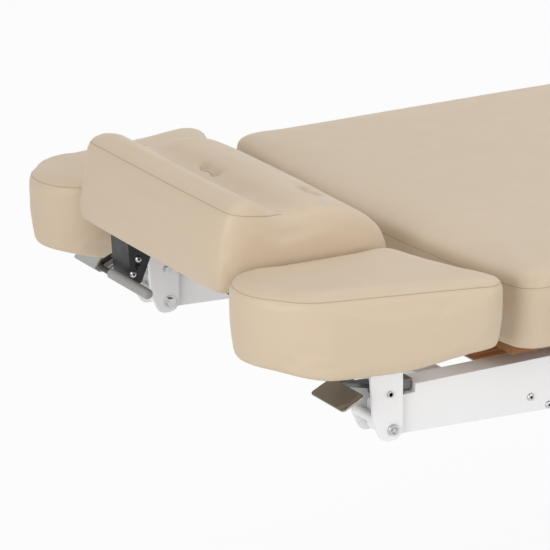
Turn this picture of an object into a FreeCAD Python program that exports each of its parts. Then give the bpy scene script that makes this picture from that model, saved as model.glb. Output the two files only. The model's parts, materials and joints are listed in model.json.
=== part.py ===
"""Electric spa treatment bed: lifting base, tilting back, tilting headrest and two drop-down armrests.

The frame is X along the bed with the head end at -X, Y across it, Z up from the floor.
Most places are measured from the armrest pivot: the lower bolt of the armrest brackets, on the centre line.
"""
import FreeCAD, Part
import math
import os
import re
from types import SimpleNamespace

import Sketcher
from FreeCAD import Placement, Rotation, Vector

SIZES = [
    ("pivot_height", 435, "armrest pivot above the floor, bed at its lowest"),
    ("running_gap", 0.06, "radial clearance of a pin that turns in its hole"),
    ("sliding_gap", 0.3, "clearance on each side of a sliding tube"),
    # white arms under the back
    ("arm_inset", 91, "side of the bed to the middle of each arm"),
    ("arm_width", 36, "arm, across"),
    ("arm_wall", 3, "arm sheet thickness"),
    ("arm_top", 51.5, "top of the arm above the pivot"),
    ("arm_nose", 10, "arm in front of the pivot"),
    ("arm_heel", 11, "arm below the pivot at its nose"),
    ("arm_taper_end", 600, "where the arm reaches its full depth"),
    ("arm_tail", 37, "arm below the pivot at its full depth"),
    ("arm_solid", 46, "solid end block of the arm behind the pivot"),
    ("arm_tail_gap", 27, "arm's end to the hip axis"),
    ("brow_height", 30, "top of the arm's nose above the pivot"),
    ("notch_front", 20, "front of the latch notch"),
    ("notch_back", 40, "back wall of the latch notch"),
    ("notch_floor", 40, "floor of the latch notch above the pivot"),
    # cross bars and bolts of the back
    ("bar_width", 40, "cross bar, along the bed"),
    ("bar_depth", 30, "cross bar, up"),
    ("bar_wall", 3, "cross bar wall"),
    ("support_bar", 112, "cross bar that carries the headrest, behind the pivot"),
    ("support_bar_drop", 20, "its top below the top of the arms"),
    ("middle_bar", 216, "bolted cross bar, behind the pivot"),
    ("hip_bar", 72, "hip cross bar in front of the hip axis"),
    # top of the bed
    ("bed_width", 762, "cushions, across"),
    ("batten_height", 25.5, "timber battens"),
    ("batten_width", 40, "timber battens"),
    ("batten_head", 152, "head face of the battens, behind the pivot"),
    ("board_thickness", 15, "boards under the back and leg cushions"),
    ("board_inset", 40, "edge of the cushion to the edge of its board"),
    ("cushion_thickness", 95, "back and leg cushions"),
    ("cushion_crown", 10, "height of the crown above the seam"),
    ("cushion_waist", 8, "how far the sides draw in under the cushions"),
    ("crown_inset", 22, "how far in the crown reaches its height"),
    ("back_head", 125.5, "head end of the back cushion, behind the pivot"),
    ("back_length", 740, "back cushion, along the bed"),
    ("head_bow", 2250, "radius of its bowed head end"),
    ("head_corner", 42, "radius of its head corners"),
    ("end_corner", 30, "radius of the other corners"),
    ("hip_gap", 14, "gap between the back and leg cushions"),
    ("leg_length", 1100, "leg cushion, along the bed"),
    # hip pivot
    ("ear_thickness", 8, "hip plates"),
    ("ear_gap", 7, "hip plate to the side of the cushions"),
    ("ear_play", 1, "gap between the two hip plates"),
    ("ear_round", 24, "round end of the hip plates"),
    ("ear_foot", 60, "foot of the hip plates, along the bed"),
    ("ear_foot_depth", 60, "foot of the hip plates, up"),
    ("ear_foot_out", 72, "hip axis to the middle of the plate's foot"),
    ("stub_width", 40, "stub tubes to the hip plates"),
    ("hip_pin_radius", 8, "hip pins"),
    ("hip_pin_head", 12, "hip pin heads"),
    ("hip_pin_head_height", 5, "hip pin heads"),
    # armrests
    ("armrest_thickness", 112, "armrest cushion"),
    ("armrest_crown", 7, "height of its crown above the seam"),
    ("armrest_board", 12, "armrest board"),
    ("armrest_board_share", 0.5, "armrest board as a share of the cushion's outline"),
    ("armrest_inboard", 92, "inner edge of the armrest inboard of the arm"),
    ("nose_centre", 128, "middle of the armrest's nose in front of the pivot"),
    ("nose_radius", 70, "radius of the armrest's nose"),
    ("shoulder_front", 105, "middle of its outer front curve in front of the pivot"),
    ("shoulder_radius", 74, "radius of its outer front curve"),
    ("heel_back", 88, "middle of its outer back corner behind the pivot"),
    ("heel_out", 86, "middle of its outer back corner outboard of the arm"),
    ("heel_radius", 28, "radius of its outer back corner"),
    ("inner_back", 42, "middle of its inner back corner behind the pivot"),
    ("inner_radius", 27, "radius of its inner back corner"),
    # armrest brackets
    ("cheek_gap", 46, "between the two cheeks"),
    ("cheek_thickness", 5, "bracket sheet"),
    ("cheek_nose", 15, "round lower end of the cheeks"),
    ("cheek_front", 34, "front of the cheeks at the flange"),
    ("flange_top", 88, "top of the bracket above the pivot"),
    ("flange_length", 110, "flange under the board"),
    ("flange_width", 84, "flange under the board"),
    ("flange_shift", 10, "middle of the flange in front of the pivot"),
    ("spacer_front", 20, "spacer bar in front of the pivot"),
    ("spacer_rise", 14, "spacer bar above the pivot"),
    ("spacer_radius", 6.5, "spacer bar"),
    ("bolt_radius", 4, "pivot bolts"),
    ("bolt_head_radius", 7, "pivot bolt heads"),
    ("bolt_head_height", 4.4, "pivot bolt heads"),
    ("nut_share", 0.9, "nut height as a share of the bolt head's radius"),
    # armrest latches
    ("latch_front", 4.6, "latch bolt in front of the pivot"),
    ("latch_rise", 48.7, "latch bolt above the pivot"),
    ("latch_bolt_radius", 3, "latch bolts"),
    ("latch_head_radius", 4.5, "latch bolt heads"),
    ("latch_head_height", 3, "latch bolt heads"),
    ("lever_width", 22, "latch lever, across"),
    ("lever_thickness", 4.5, "latch lever strip"),
    ("hub_radius", 8.5, "hub of the latch lever"),
    ("tooth_seat", 4, "tip of the tooth above the notch floor"),
    ("tooth_gap", 1, "back of the tooth to the notch wall"),
    ("tooth_length", 13, "tooth, along the bed"),
    ("paddle_width", 80, "paddle, across the bed"),
    ("paddle_depth", 36, "paddle, along its slope"),
    ("paddle_thickness", 2.5, "paddle sheet"),
    ("paddle_slope", 25, "paddle slope in degrees, down to the front"),
    ("paddle_corner", 6, "round corners of the paddle"),
    ("paddle_out", 29, "middle of the paddle outboard of the bracket"),
    ("paddle_back", 66, "back edge of the paddle in front of the pivot"),
    ("paddle_rise", 69, "back edge of the paddle above the pivot"),
    ("paddle_lap", 24, "lever strip under the paddle"),
    # headrest
    ("headrest_tilt", 11.2, "headrest slope in degrees, head end up"),
    ("headrest_front", 172, "lower front edge in front of the pivot"),
    ("headrest_rise", 177, "lower front edge above the pivot"),
    ("headrest_length", 238, "headrest cushion, along its slope"),
    ("headrest_side_gap", 4, "gap between the headrest and each armrest"),
    ("headrest_seam", 92, "seam of the front face above its lower edge"),
    ("ridge_height", 108, "front ridge"),
    ("dip_height", 99, "hollow for the head"),
    ("hump_height", 111, "neck roll"),
    ("tail_height", 54, "back edge of the cushion"),
    ("tuft_ball", 60, "curve of the sewn tufts"),
    ("tuft_depth", 5, "depth of the sewn tufts"),
    ("tuft_out", 47, "sewn tufts from the centre line"),
    ("tuft_first", 98, "first tuft behind the lower front edge"),
    ("tuft_second", 186, "second tuft behind the lower front edge"),
    ("headrest_board", 12, "headrest board"),
    ("headrest_board_inset", 26, "edge of the cushion to the edge of the board"),
    ("hinge_back", 195, "headrest hinge behind its lower front edge"),
    ("hinge_drop", 30, "headrest hinge below the cushion"),
    ("hinge_spread", 95, "headrest lugs from the centre line"),
    ("hinge_round", 12, "round ends at the headrest hinge"),
    ("hinge_pin_radius", 5, "headrest hinge pins"),
    ("lug_thickness", 6, "headrest lugs"),
    ("support_thickness", 8, "headrest support bars"),
    ("support_play", 1.5, "gap between lug and support bar"),
    # headrest latch bracket and lever
    ("catch_in", 67, "middle of the black bracket in from the side of the headrest"),
    ("catch_width", 48, "black bracket, across"),
    ("catch_wall", 4, "black bracket sheet"),
    ("catch_front", 24, "black bracket behind the lower front edge"),
    ("catch_length", 44, "black bracket, along the headrest"),
    ("catch_depth", 60, "black bracket, down from the board"),
    ("catch_lean", 16, "how much shorter it is at its lower end"),
    ("catch_round", 5, "round lower corners of the black bracket"),
    ("shaft_back", 48, "release shaft behind the lower front edge"),
    ("shaft_drop", 50, "release shaft below the cushion"),
    ("rod_radius", 4, "release lever rod"),
    ("crank_out", 43, "outer end of the rod from the middle of the bracket"),
    ("grip_back", 25.5, "grip behind the lower front edge"),
    ("grip_drop", 67, "grip below the cushion"),
    ("grip_radius", 6.4, "grip"),
    ("grip_bore_gap", 0.05, "grip bore over the rod"),
    ("grip_length", 110, "grip"),
    ("grip_outer_end", 18, "outer end of the grip from the middle of the bracket"),
    # back actuator
    ("drive_out", 110, "actuator from the centre line"),
    ("drive_drop", 177, "actuator below the hip axis"),
    ("drive_sweep", 30, "crank angle at rest in degrees, half of the back's travel"),
    ("drive_pin_radius", 7, "actuator pin"),
    ("slot_play", 4.4, "play of the pin on each side of its slot"),
    ("crank_thickness", 6, "crank plates"),
    ("crank_gap", 26, "between the crank plates"),
    ("crank_margin", 13, "crank plate round its slot"),
    ("rod_thick", 10, "actuator rod radius"),
    ("rod_length", 300, "actuator rod"),
    ("tube_radius", 20, "actuator tube"),
    ("tube_start", 40, "actuator tube behind the pin"),
    ("tube_length", 300, "actuator tube"),
    ("motor_length", 90, "actuator motor"),
    ("motor_width", 76, "actuator motor"),
    ("motor_height", 60, "actuator motor"),
    # lifting frame
    ("rail_width", 40, "leg frame rails"),
    ("rail_depth", 70, "leg frame rails"),
    ("rail_start", 34, "rails behind the hip axis"),
    ("rail_end_gap", 70, "end of the rails to the end of the leg cushion"),
    ("tie_first", 190, "first tie bar behind the hip axis"),
    ("tie_last", 900, "last tie bar behind the hip axis"),
    ("beam_width", 120, "main beam"),
    ("beam_depth", 50, "main beam"),
    ("beam_wall", 4, "main beam and base tubes"),
    ("beam_front", 230, "main beam in front of the hip axis"),
    ("column_outer", 100, "outer column tube"),
    ("column_wall", 5, "column tube walls"),
    ("column_head", 20, "head column in front of the hip axis"),
    ("column_span", 760, "between the two columns"),
    ("column_cover", 10, "top of the outer column to the main beam"),
    ("column_floor", 15, "inner column above the base plate"),
    # base
    ("foot_height", 20, "levelling feet"),
    ("foot_radius", 25, "levelling feet"),
    ("base_depth", 40, "base tubes"),
    ("base_width", 80, "base tubes"),
    ("base_over", 110, "base beyond the columns"),
    ("foot_out", 270, "levelling feet from the centre line"),
    ("base_foot_end", 40, "end of the cross feet beyond the levelling feet"),
    ("plate_side", 150, "column base plates"),
    ("plate_thickness", 8, "column base plates"),
    ("control_length", 220, "control box"),
    ("control_width", 110, "control box"),
    ("control_height", 60, "control box"),
    ("inlet_width", 28, "power inlet"),
    ("inlet_height", 20, "power inlet"),
    ("inlet_depth", 16, "power inlet"),
    ("control_edge", 5, "round edges of the control box"),
]
SIDES = (("left", 1), ("right", -1))
TOLERANCE = 1e-4

doc = FreeCAD.newDocument("TreatmentBed")
sheet = doc.addObject("Spreadsheet::Sheet", "Sizes")
for row, (alias, number, meaning) in enumerate(SIZES, start=1):
    sheet.set(f"A{row}", meaning)
    sheet.set(f"B{row}", str(number))
    sheet.setAlias(f"B{row}", alias)
doc.recompute()

ALIASES = {alias for alias, number, meaning in SIZES}
s = SimpleNamespace(**{alias: float(sheet.get(alias)) for alias in ALIASES})
nodes = []

# Places that follow from the sizes, measured from the armrest pivot.
bed_end = s.back_head + s.back_length + s.hip_gap + s.leg_length
pivot = Vector((s.nose_centre + s.nose_radius - bed_end) / 2, 0, s.pivot_height)
arm_y = s.bed_width / 2 - s.arm_inset
armrest_inner = arm_y - s.armrest_inboard
headrest_half = armrest_inner - s.headrest_side_gap
catch_y = headrest_half - s.catch_in
hip_x = s.back_head + s.back_length + s.hip_gap / 2
board_bottom = s.arm_top + s.batten_height
cushion_bottom = board_bottom + s.board_thickness
hip_z = cushion_bottom + s.cushion_thickness
drive_z = hip_z - s.drive_drop
drive_x = hip_x + s.drive_drop * math.tan(math.radians(s.drive_sweep))
tie_top = drive_z - s.tube_radius
beam_top = tie_top - s.bar_depth
beam_bottom = beam_top - s.beam_depth
base_top = s.foot_height + s.base_depth - s.pivot_height
ARM = "(bed_width / 2 - arm_inset)"
HALF = f"({ARM} - armrest_inboard - headrest_side_gap)"
HIP = "(back_head + back_length + hip_gap / 2)"
HIP_RISE = "(arm_top + batten_height + board_thickness + cushion_thickness)"
headrest_frame = Placement(
    pivot + Vector(-s.headrest_front, 0, s.headrest_rise), Rotation(Vector(0, 1, 0), s.headrest_tilt)
)


def link(formula):
    """Point every size named in a formula at its cell."""
    def owned(word):
        return "Sizes." + word[0] if word[0] in ALIASES else word[0]

    return re.sub(r"[a-z][a-z_]*", owned, formula)


def bind(item, **formulas):
    for name, formula in formulas.items():
        item.setExpression(name, link(formula))
    return item


def keep(item):
    """Hand the piece in as a node of its own."""
    nodes.append(item)
    return item


def at(item, x=0.0, y=0.0, z=0.0):
    """Place a piece by a point measured from the armrest pivot."""
    item.Placement = Placement(pivot + Vector(x, y, z), item.Placement.Rotation)
    return item


def on_headrest(item, x=0.0, y=0.0, z=0.0):
    """Place a piece in the headrest's own sloping frame."""
    item.Placement = headrest_frame.multiply(Placement(Vector(x, y, z), item.Placement.Rotation))
    return item


def make(kind, label, **formulas):
    item = doc.addObject(kind, label)
    item.Label = label
    return bind(item, **formulas)


# Sketched pieces


def sketch_on(body, role, name):
    plane = next(item for item in body.Origin.OriginFeatures if item.Role == role)
    sketch = body.newObject("Sketcher::SketchObject", name)
    sketch.AttachmentSupport = [(plane, "")]
    sketch.MapMode = "FlatFace"
    return sketch


def tie_point(sketch, geometry, position, x, y):
    for kind, formula in (("DistanceX", x), ("DistanceY", y)):
        index = sketch.addConstraint(Sketcher.Constraint(kind, -1, 1, geometry, position, 1.0))
        sketch.setExpression(f"Constraints[{index}]", link(formula))


def draw_polygon(sketch, corners):
    count = len(corners)
    turn = 2 * math.pi / count
    ring = [Vector(math.cos(turn * i), math.sin(turn * i), 0) for i in range(count)]
    for i in range(count):
        sketch.addGeometry(Part.LineSegment(ring[i], ring[(i + 1) % count]))
    for i in range(count):
        sketch.addConstraint(Sketcher.Constraint("Coincident", i, 2, (i + 1) % count, 1))
    for i, (x, y) in enumerate(corners):
        tie_point(sketch, i, 1, x, y)


def draw_circle(sketch, x, y, radius):
    circle = sketch.addGeometry(Part.Circle(Vector(1, 1, 0), Vector(0, 0, 1), 1))
    tie_point(sketch, circle, 3, x, y)
    index = sketch.addConstraint(Sketcher.Constraint("Radius", circle, 1.0))
    sketch.setExpression(f"Constraints[{index}]", link(radius))


def corner_edges(body, sketch, index):
    """Names of the edges that stand on one corner of the outline."""
    spot = sketch.Placement.multVec(sketch.Geometry[index].StartPoint)
    normal = sketch.Placement.Rotation.multVec(Vector(0, 0, 1))
    names = []
    for number, edge in enumerate(body.Tip.Shape.Edges, start=1):
        offsets = [(vertex.Point - spot).cross(normal).Length for vertex in edge.Vertexes]
        if max(offsets) < TOLERANCE:
            names.append(f"Edge{number}")
    return names


def plate(label, corners, thickness, holes=(), rounds=(), role="XZ_Plane"):
    """A flat piece: a polygon with holes and some round corners, thick to both sides of its plane."""
    body = doc.addObject("PartDesign::Body", label)
    body.Label = label
    sketch = sketch_on(body, role, label + "_outline")
    draw_polygon(sketch, corners)
    for x, y, radius in holes:
        draw_circle(sketch, x, y, radius)
    pad = body.newObject("PartDesign::Pad", label + "_sheet")
    pad.Profile = sketch
    pad.Midplane = True
    bind(pad, Length=thickness)
    doc.recompute()
    for order, (indexes, radius) in enumerate(rounds):
        names = [name for index in indexes for name in corner_edges(body, sketch, index)]
        sharp = body.Tip
        fillet = body.newObject("PartDesign::Fillet", f"{label}_round_{order}")
        fillet.Base = (sharp, names)
        bind(fillet, Radius=radius)
        doc.recompute()
    return body


def hollow(body, corners, width, role="XZ_Plane"):
    """Cut a straight slot of the given outline through the middle of a plate."""
    before = body.Shape.Volume
    sketch = sketch_on(body, role, body.Label + "_hollow_outline")
    draw_polygon(sketch, corners)
    pocket = body.newObject("PartDesign::Pocket", body.Label + "_hollow")
    pocket.Profile = sketch
    pocket.Midplane = True
    bind(pocket, Length=width)
    doc.recompute()
    if body.Shape.Volume > before - TOLERANCE:
        raise RuntimeError(f"{body.Label}: the hollow cuts nothing")
    return body


def add_plate(body, name, corners, thickness, role="XZ_Plane"):
    """Add a second flat part to a sheet piece."""
    sketch = sketch_on(body, role, name + "_outline")
    draw_polygon(sketch, corners)
    pad = body.newObject("PartDesign::Pad", name)
    pad.Profile = sketch
    pad.Midplane = True
    bind(pad, Length=thickness)
    doc.recompute()
    return body


def turned(label, profile):
    """A piece turned about Y from a half outline of (radius, distance along Y)."""
    body = doc.addObject("PartDesign::Body", label)
    body.Label = label
    sketch = sketch_on(body, "XY_Plane", label + "_half")
    draw_polygon(sketch, profile)
    turn = body.newObject("PartDesign::Revolution", label + "_turn")
    turn.Profile = sketch
    turn.ReferenceAxis = (sketch, ["V_Axis"])
    turn.Angle = 360
    doc.recompute()
    return body


# Straight tubes, boxes and groups


def block(label, length, width, height):
    """A box centred across Y."""
    return make("Part::Box", label, Length=length, Width=width, Height=height)


def square_tube(label, length, width, height, wall, along):
    """A rectangular tube, open at both ends along X, Y or Z."""
    outer = block(label + "_outside", length, width, height)
    shrink = {axis: f" - 2 * {wall}" if axis != along else f" + 2 * {wall}" for axis in "XYZ"}
    inner = block(label + "_inside", length + shrink["X"], width + shrink["Y"], height + shrink["Z"])
    for axis in "XYZ":
        sign = "-" if axis == along else ""
        inner.setExpression(f"Placement.Base.{axis.lower()}", link(f"{sign}{wall}"))
    tube = make("Part::Cut", label)
    tube.Base = outer
    tube.Tool = inner
    return tube


def group(label, items):
    """Like pieces that share one node."""
    whole = make("Part::Compound", label)
    whole.Links = items
    return whole


def rod_along(label, radius, length, direction):
    rod = make("Part::Cylinder", label, Radius=radius, Height=length)
    rod.Placement = Placement(Vector(), Rotation(Vector(0, 0, 1), direction))
    return rod


# Cushions


def belt(discs):
    """Arcs of a belt round discs given in order anticlockwise as (x, y, radius)."""
    normals = []
    for (x0, y0, r0), (x1, y1, r1) in zip(discs, discs[1:] + discs[:1]):
        length = math.hypot(x1 - x0, y1 - y0)
        along = math.atan2(y1 - y0, x1 - x0)
        normals.append(along - math.acos((r0 - r1) / length))
    arcs = []
    for index, (x, y, radius) in enumerate(discs):
        start = normals[index - 1]
        sweep = (normals[index] - start) % (2 * math.pi)
        arcs.append((x, y, radius, start, start + sweep))
    return arcs


def outline(arcs, inset, z, mirror=1):
    """Closed wire of the arcs, drawn in by the inset, with straight runs between them."""
    edges = []
    ends = []
    for x, y, radius, start, stop in arcs:
        spots = []
        for angle in (start, (start + stop) / 2, stop):
            reach = radius - inset
            spots.append(Vector(x + reach * math.cos(angle), mirror * (y + reach * math.sin(angle)), z))
        ends.append(spots)
    for spots, following in zip(ends, ends[1:] + ends[:1]):
        edges.append(Part.Arc(*spots).toShape())
        if (following[0] - spots[2]).Length > TOLERANCE:
            edges.append(Part.makeLine(spots[2], following[0]))
    return Part.Wire(edges)


def padded(label, arcs, bottom, thickness, crown, mirror=1):
    """A crowned cushion with drawn-in sides, lofted from its underside past its seam to its crown."""
    seam = bottom + thickness - crown
    top_inset = min(s.crown_inset, 0.85 * min(arc[2] for arc in arcs))
    sections = [
        (s.cushion_waist, bottom),
        (0, seam),
        (top_inset, seam + crown),
    ]
    cushion = doc.addObject("Part::Feature", label)
    cushion.Label = label
    cushion.Shape = Part.makeLoft([outline(arcs, inset, z, mirror) for inset, z in sections], True, True)
    return at(cushion)


def bowed_arcs():
    """Outline of the back cushion: bowed head end, straight sides, straight foot end."""
    half = s.bed_width / 2
    centre = s.back_head + s.head_bow
    corner_y = half - s.head_corner
    reach = s.head_bow - s.head_corner
    corner_x = centre - math.sqrt(reach ** 2 - corner_y ** 2)
    lean = math.atan2(corner_y, centre - corner_x)
    end_x = s.back_head + s.back_length - s.end_corner
    end_y = half - s.end_corner
    right = -math.pi / 2
    return [
        (centre, 0, s.head_bow, math.pi - lean, math.pi + lean),
        (corner_x, -corner_y, s.head_corner, math.pi + lean, 1.5 * math.pi),
        (end_x, -end_y, s.end_corner, right, 0),
        (end_x, end_y, s.end_corner, 0, -right),
        (corner_x, corner_y, s.head_corner, -right, math.pi - lean),
    ]


def leg_arcs():
    half = s.bed_width / 2 - s.end_corner
    front = s.back_head + s.back_length + s.hip_gap + s.end_corner
    back = bed_end - s.end_corner
    spots = [(front, -half), (back, -half), (back, half), (front, half)]
    return belt([(x, y, s.end_corner) for x, y in spots])


def armrest_arcs():
    """Outline of an armrest: round nose, slanting outer side, nearly square back."""
    return belt([
        (-s.nose_centre, armrest_inner + s.nose_radius, s.nose_radius),
        (s.inner_back, armrest_inner + s.inner_radius, s.inner_radius),
        (s.heel_back, arm_y + s.heel_out, s.heel_radius),
        (-s.shoulder_front, arm_y, s.shoulder_radius),
    ])


def headrest_section(y, shrink):
    """Contour of the headrest at one place across it: ridge, hollow, neck roll, sloping back."""
    length = s.headrest_length
    rise = s.ridge_height - s.headrest_seam
    middle = Vector(length / 2, y, s.headrest_seam / 2)

    def spot(x, z):
        return middle + (Vector(x, y, z) - middle) * (1 - shrink)

    front_low = spot(0, 0)
    back_low = spot(0.985 * length, 0)
    back_top = spot(length, s.tail_height)
    shoulder = spot(0.82 * length, 0.86 * s.hump_height)
    behind_dip = spot(0.42 * length, 0.75 * s.hump_height + 0.25 * s.dip_height)
    before_dip = spot(0.18 * length, 0.75 * s.ridge_height + 0.25 * s.dip_height)
    front_top = spot(0.01 * length, s.headrest_seam)
    arcs = [
        (back_top, spot(0.95 * length, 0.5 * (s.tail_height + 0.93 * s.hump_height)), shoulder),
        (shoulder, spot(0.6 * length, s.hump_height), behind_dip),
        (behind_dip, spot(0.3 * length, s.dip_height), before_dip),
        (before_dip, spot(0.06 * length, s.headrest_seam + 0.8 * rise), front_top),
    ]
    edges = [Part.makeLine(front_low, back_low), Part.makeLine(back_low, back_top)]
    edges += [Part.Arc(*spots).toShape() for spots in arcs]
    edges.append(Part.makeLine(front_top, front_low))
    return Part.Wire(edges)


def build_headrest_cushion():
    """Contoured cushion with rounded ends and two sewn tufts in its top."""
    stations = [(-1, 0.1), (-0.94, 0.015), (0.94, 0.015), (1, 0.1)]
    sections = [headrest_section(share * headrest_half, shrink) for share, shrink in stations]
    body = Part.makeLoft(sections, True, True)
    sink = s.tuft_ball - s.tuft_depth
    for along, across, height in (
        (s.tuft_first, s.tuft_out, 0.97 * s.hump_height),
        (s.tuft_second, -s.tuft_out, 0.9 * s.hump_height),
    ):
        body = body.cut(Part.makeSphere(s.tuft_ball, Vector(along, across, height + sink)))
    cushion = doc.addObject("Part::Feature", "headrest_cushion")
    cushion.Label = "headrest_cushion"
    cushion.Shape = body
    keep(on_headrest(cushion))


# Armrests and their latches


def build_armrest(side, sign):
    place_y = sign * arm_y
    bottom = s.flange_top + s.armrest_board
    arcs = armrest_arcs()
    keep(padded(f"armrest_cushion_{side}", arcs, bottom, s.armrest_thickness, s.armrest_crown, sign))
    board = doc.addObject("Part::Feature", f"armrest_board_{side}")
    board.Label = f"armrest_board_{side}"
    discs = [
        (
            s.armrest_board_share * (x + s.flange_shift) - s.flange_shift,
            s.armrest_board_share * (y - arm_y) + arm_y,
            s.armrest_board_share * radius,
        )
        for x, y, radius, start, stop in arcs
    ]
    face = Part.Face(outline(belt(discs), 0, s.flange_top, sign))
    board.Shape = face.extrude(Vector(0, 0, s.armrest_board))
    keep(at(board))
    build_bracket(side, place_y)
    build_bolts(side, sign, place_y)
    build_latch(side, sign, place_y)


def build_bracket(side, place_y):
    label = f"armrest_bracket_{side}"
    web = "flange_top - cheek_thickness"
    corners = [
        ("-cheek_nose", "-cheek_nose"),
        ("cheek_nose", "-cheek_nose"),
        ("cheek_nose", "flange_top"),
        ("-cheek_front", "flange_top"),
        ("-spacer_front - 1.3 * spacer_radius", "spacer_rise"),
    ]
    holes = [
        ("0", "0", "bolt_radius + running_gap"),
        ("-latch_front", "latch_rise", "latch_bolt_radius + running_gap"),
    ]
    bracket = plate(label, corners, "cheek_gap + 2 * cheek_thickness", holes, [((0, 1), "0.95 * cheek_nose")])
    slot = [
        ("-2 * cheek_front", "-2 * cheek_nose"),
        ("2 * cheek_nose", "-2 * cheek_nose"),
        ("2 * cheek_nose", web),
        ("-2 * cheek_front", web),
    ]
    hollow(bracket, slot, "cheek_gap")
    flange = [
        ("-flange_shift - flange_length / 2", web),
        ("-flange_shift + flange_length / 2", web),
        ("-flange_shift + flange_length / 2", "flange_top"),
        ("-flange_shift - flange_length / 2", "flange_top"),
    ]
    add_plate(bracket, label + "_flange", flange, "flange_width")
    keep(at(bracket, 0, place_y))
    spacer = rod_along(f"bracket_spacer_{side}", "spacer_radius", "cheek_gap", Vector(0, 1, 0))
    keep(at(spacer, -s.spacer_front, place_y - s.cheek_gap / 2, s.spacer_rise))


def build_bolts(side, sign, place_y):
    """Both bracket bolts: round head outside, hexagon nut inside."""
    outside = "(cheek_gap / 2 + cheek_thickness)"
    for name, head, height, shank, x, z in (
        ("pivot", "bolt_head_radius", "bolt_head_height", "bolt_radius", 0, 0),
        ("latch", "latch_head_radius", "latch_head_height", "latch_bolt_radius", -s.latch_front, s.latch_rise),
    ):
        label = f"armrest_{name}_bolt_{side}"
        profile = [
            ("0", f"-{outside}"),
            (shank, f"-{outside}"),
            (shank, outside),
            (head, outside),
            (head, f"{outside} + {height}"),
            ("0", f"{outside} + {height}"),
        ]
        bolt = turned(label, profile)
        sketch = sketch_on(bolt, "XZ_Plane", label + "_nut_outline")
        bind(sketch, **{"AttachmentOffset.Base.z": outside})
        hexagon = [(f"{head} * cos({60 * i} deg)", f"{head} * sin({60 * i} deg)") for i in range(6)]
        draw_polygon(sketch, hexagon)
        nut = bolt.newObject("PartDesign::Pad", label + "_nut")
        nut.Profile = sketch
        bind(nut, Length=f"nut_share * {head}")
        doc.recompute()
        if sign < 0:
            bolt.Placement = Placement(Vector(), Rotation(Vector(0, 0, 1), 180))
        keep(at(bolt, x, place_y, z))


def build_latch(side, sign, place_y):
    """Lever with its tooth in the notch of the arm, and the paddle on its front end."""
    strip = "lever_thickness"
    hub_low = "latch_rise - hub_radius"
    hub_high = "latch_rise + hub_radius"
    slope = "tan(paddle_slope * 1 deg)"
    tip = "notch_floor + tooth_seat"
    tooth_back = "notch_back - tooth_gap"
    corners = [
        ("-paddle_back - paddle_lap", f"paddle_rise - paddle_lap * {slope} - {strip}"),
        ("-paddle_back", f"paddle_rise - {strip}"),
        ("-latch_front - 1.2 * hub_radius", f"{hub_high} - {strip}"),
        ("-latch_front - hub_radius", hub_low),
        ("-latch_front + hub_radius", hub_low),
        (f"{tooth_back} - tooth_length * 1.15", f"{hub_high} - 1.6 * {strip}"),
        (f"{tooth_back} - tooth_length", tip),
        (tooth_back, tip),
        (tooth_back, hub_high),
        ("-latch_front - 0.8 * hub_radius", f"{hub_high} + 0.2 * {strip}"),
        ("-paddle_back + 0.25 * lever_thickness", "paddle_rise"),
        ("-paddle_back", "paddle_rise"),
        ("-paddle_back - paddle_lap", f"paddle_rise - paddle_lap * {slope}"),
    ]
    holes = [("-latch_front", "latch_rise", "latch_bolt_radius + running_gap")]
    keep(at(plate(f"latch_lever_{side}", corners, "lever_width", holes), 0, place_y))
    sheet_corners = [
        ("-paddle_depth", "-paddle_width / 2"),
        ("0", "-paddle_width / 2"),
        ("0", "paddle_width / 2"),
        ("-paddle_depth", "paddle_width / 2"),
    ]
    rounds = [((0, 1, 2, 3), "paddle_corner")]
    paddle = plate(f"latch_paddle_{side}", sheet_corners, "paddle_thickness", (), rounds, "XY_Plane")
    turn = Rotation(Vector(0, 1, 0), -s.paddle_slope)
    lift = turn.multVec(Vector(0, 0, s.paddle_thickness / 2))
    paddle.Placement = Placement(Vector(), turn)
    keep(at(paddle, -s.paddle_back + lift.x, place_y + sign * s.paddle_out, s.paddle_rise + lift.z))


# Headrest


def build_headrest():
    build_headrest_cushion()
    board = block(
        "headrest_board",
        "headrest_length - 2 * headrest_board_inset",
        f"2 * ({HALF} - headrest_board_inset)",
        "headrest_board",
    )
    half = headrest_half - s.headrest_board_inset
    keep(on_headrest(board, s.headrest_board_inset, -half, -s.headrest_board))
    lugs = []
    for side, sign in SIDES:
        corners = [
            ("hinge_back - hinge_round", "-hinge_drop - hinge_round"),
            ("hinge_back + hinge_round", "-hinge_drop - hinge_round"),
            ("hinge_back + hinge_round", "-headrest_board"),
            ("hinge_back - 2 * hinge_round", "-headrest_board"),
        ]
        holes = [("hinge_back", "-hinge_drop", "hinge_pin_radius + running_gap")]
        rounds = [((0, 1), "0.92 * hinge_round")]
        lug = plate(f"headrest_lug_{side}", corners, "lug_thickness", holes, rounds)
        lugs.append(on_headrest(lug, 0, sign * s.hinge_spread))
    keep(group("headrest_lugs", lugs))
    build_catch()
    build_release_lever()


def build_catch():
    """Black folded bracket under the headrest, open at the back and below."""
    low = "-headrest_board - catch_depth"
    corners = [
        ("catch_front + catch_lean", low),
        ("catch_front + catch_length - 0.75 * catch_lean", low),
        ("catch_front + catch_length", "-headrest_board"),
        ("catch_front", "-headrest_board"),
    ]
    holes = [("shaft_back", "-shaft_drop", "rod_radius + running_gap")]
    catch = plate("headrest_catch", corners, "catch_width", holes, [((0, 1), "catch_round")])
    inside = [
        ("catch_front + catch_wall + catch_lean", f"{low} - catch_round"),
        ("catch_front + 2 * catch_length", f"{low} - catch_round"),
        ("catch_front + 2 * catch_length", "-headrest_board - catch_wall"),
        ("catch_front + catch_wall", "-headrest_board - catch_wall"),
    ]
    hollow(catch, inside, "catch_width - 2 * catch_wall")
    keep(on_headrest(catch, 0, catch_y))


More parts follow.
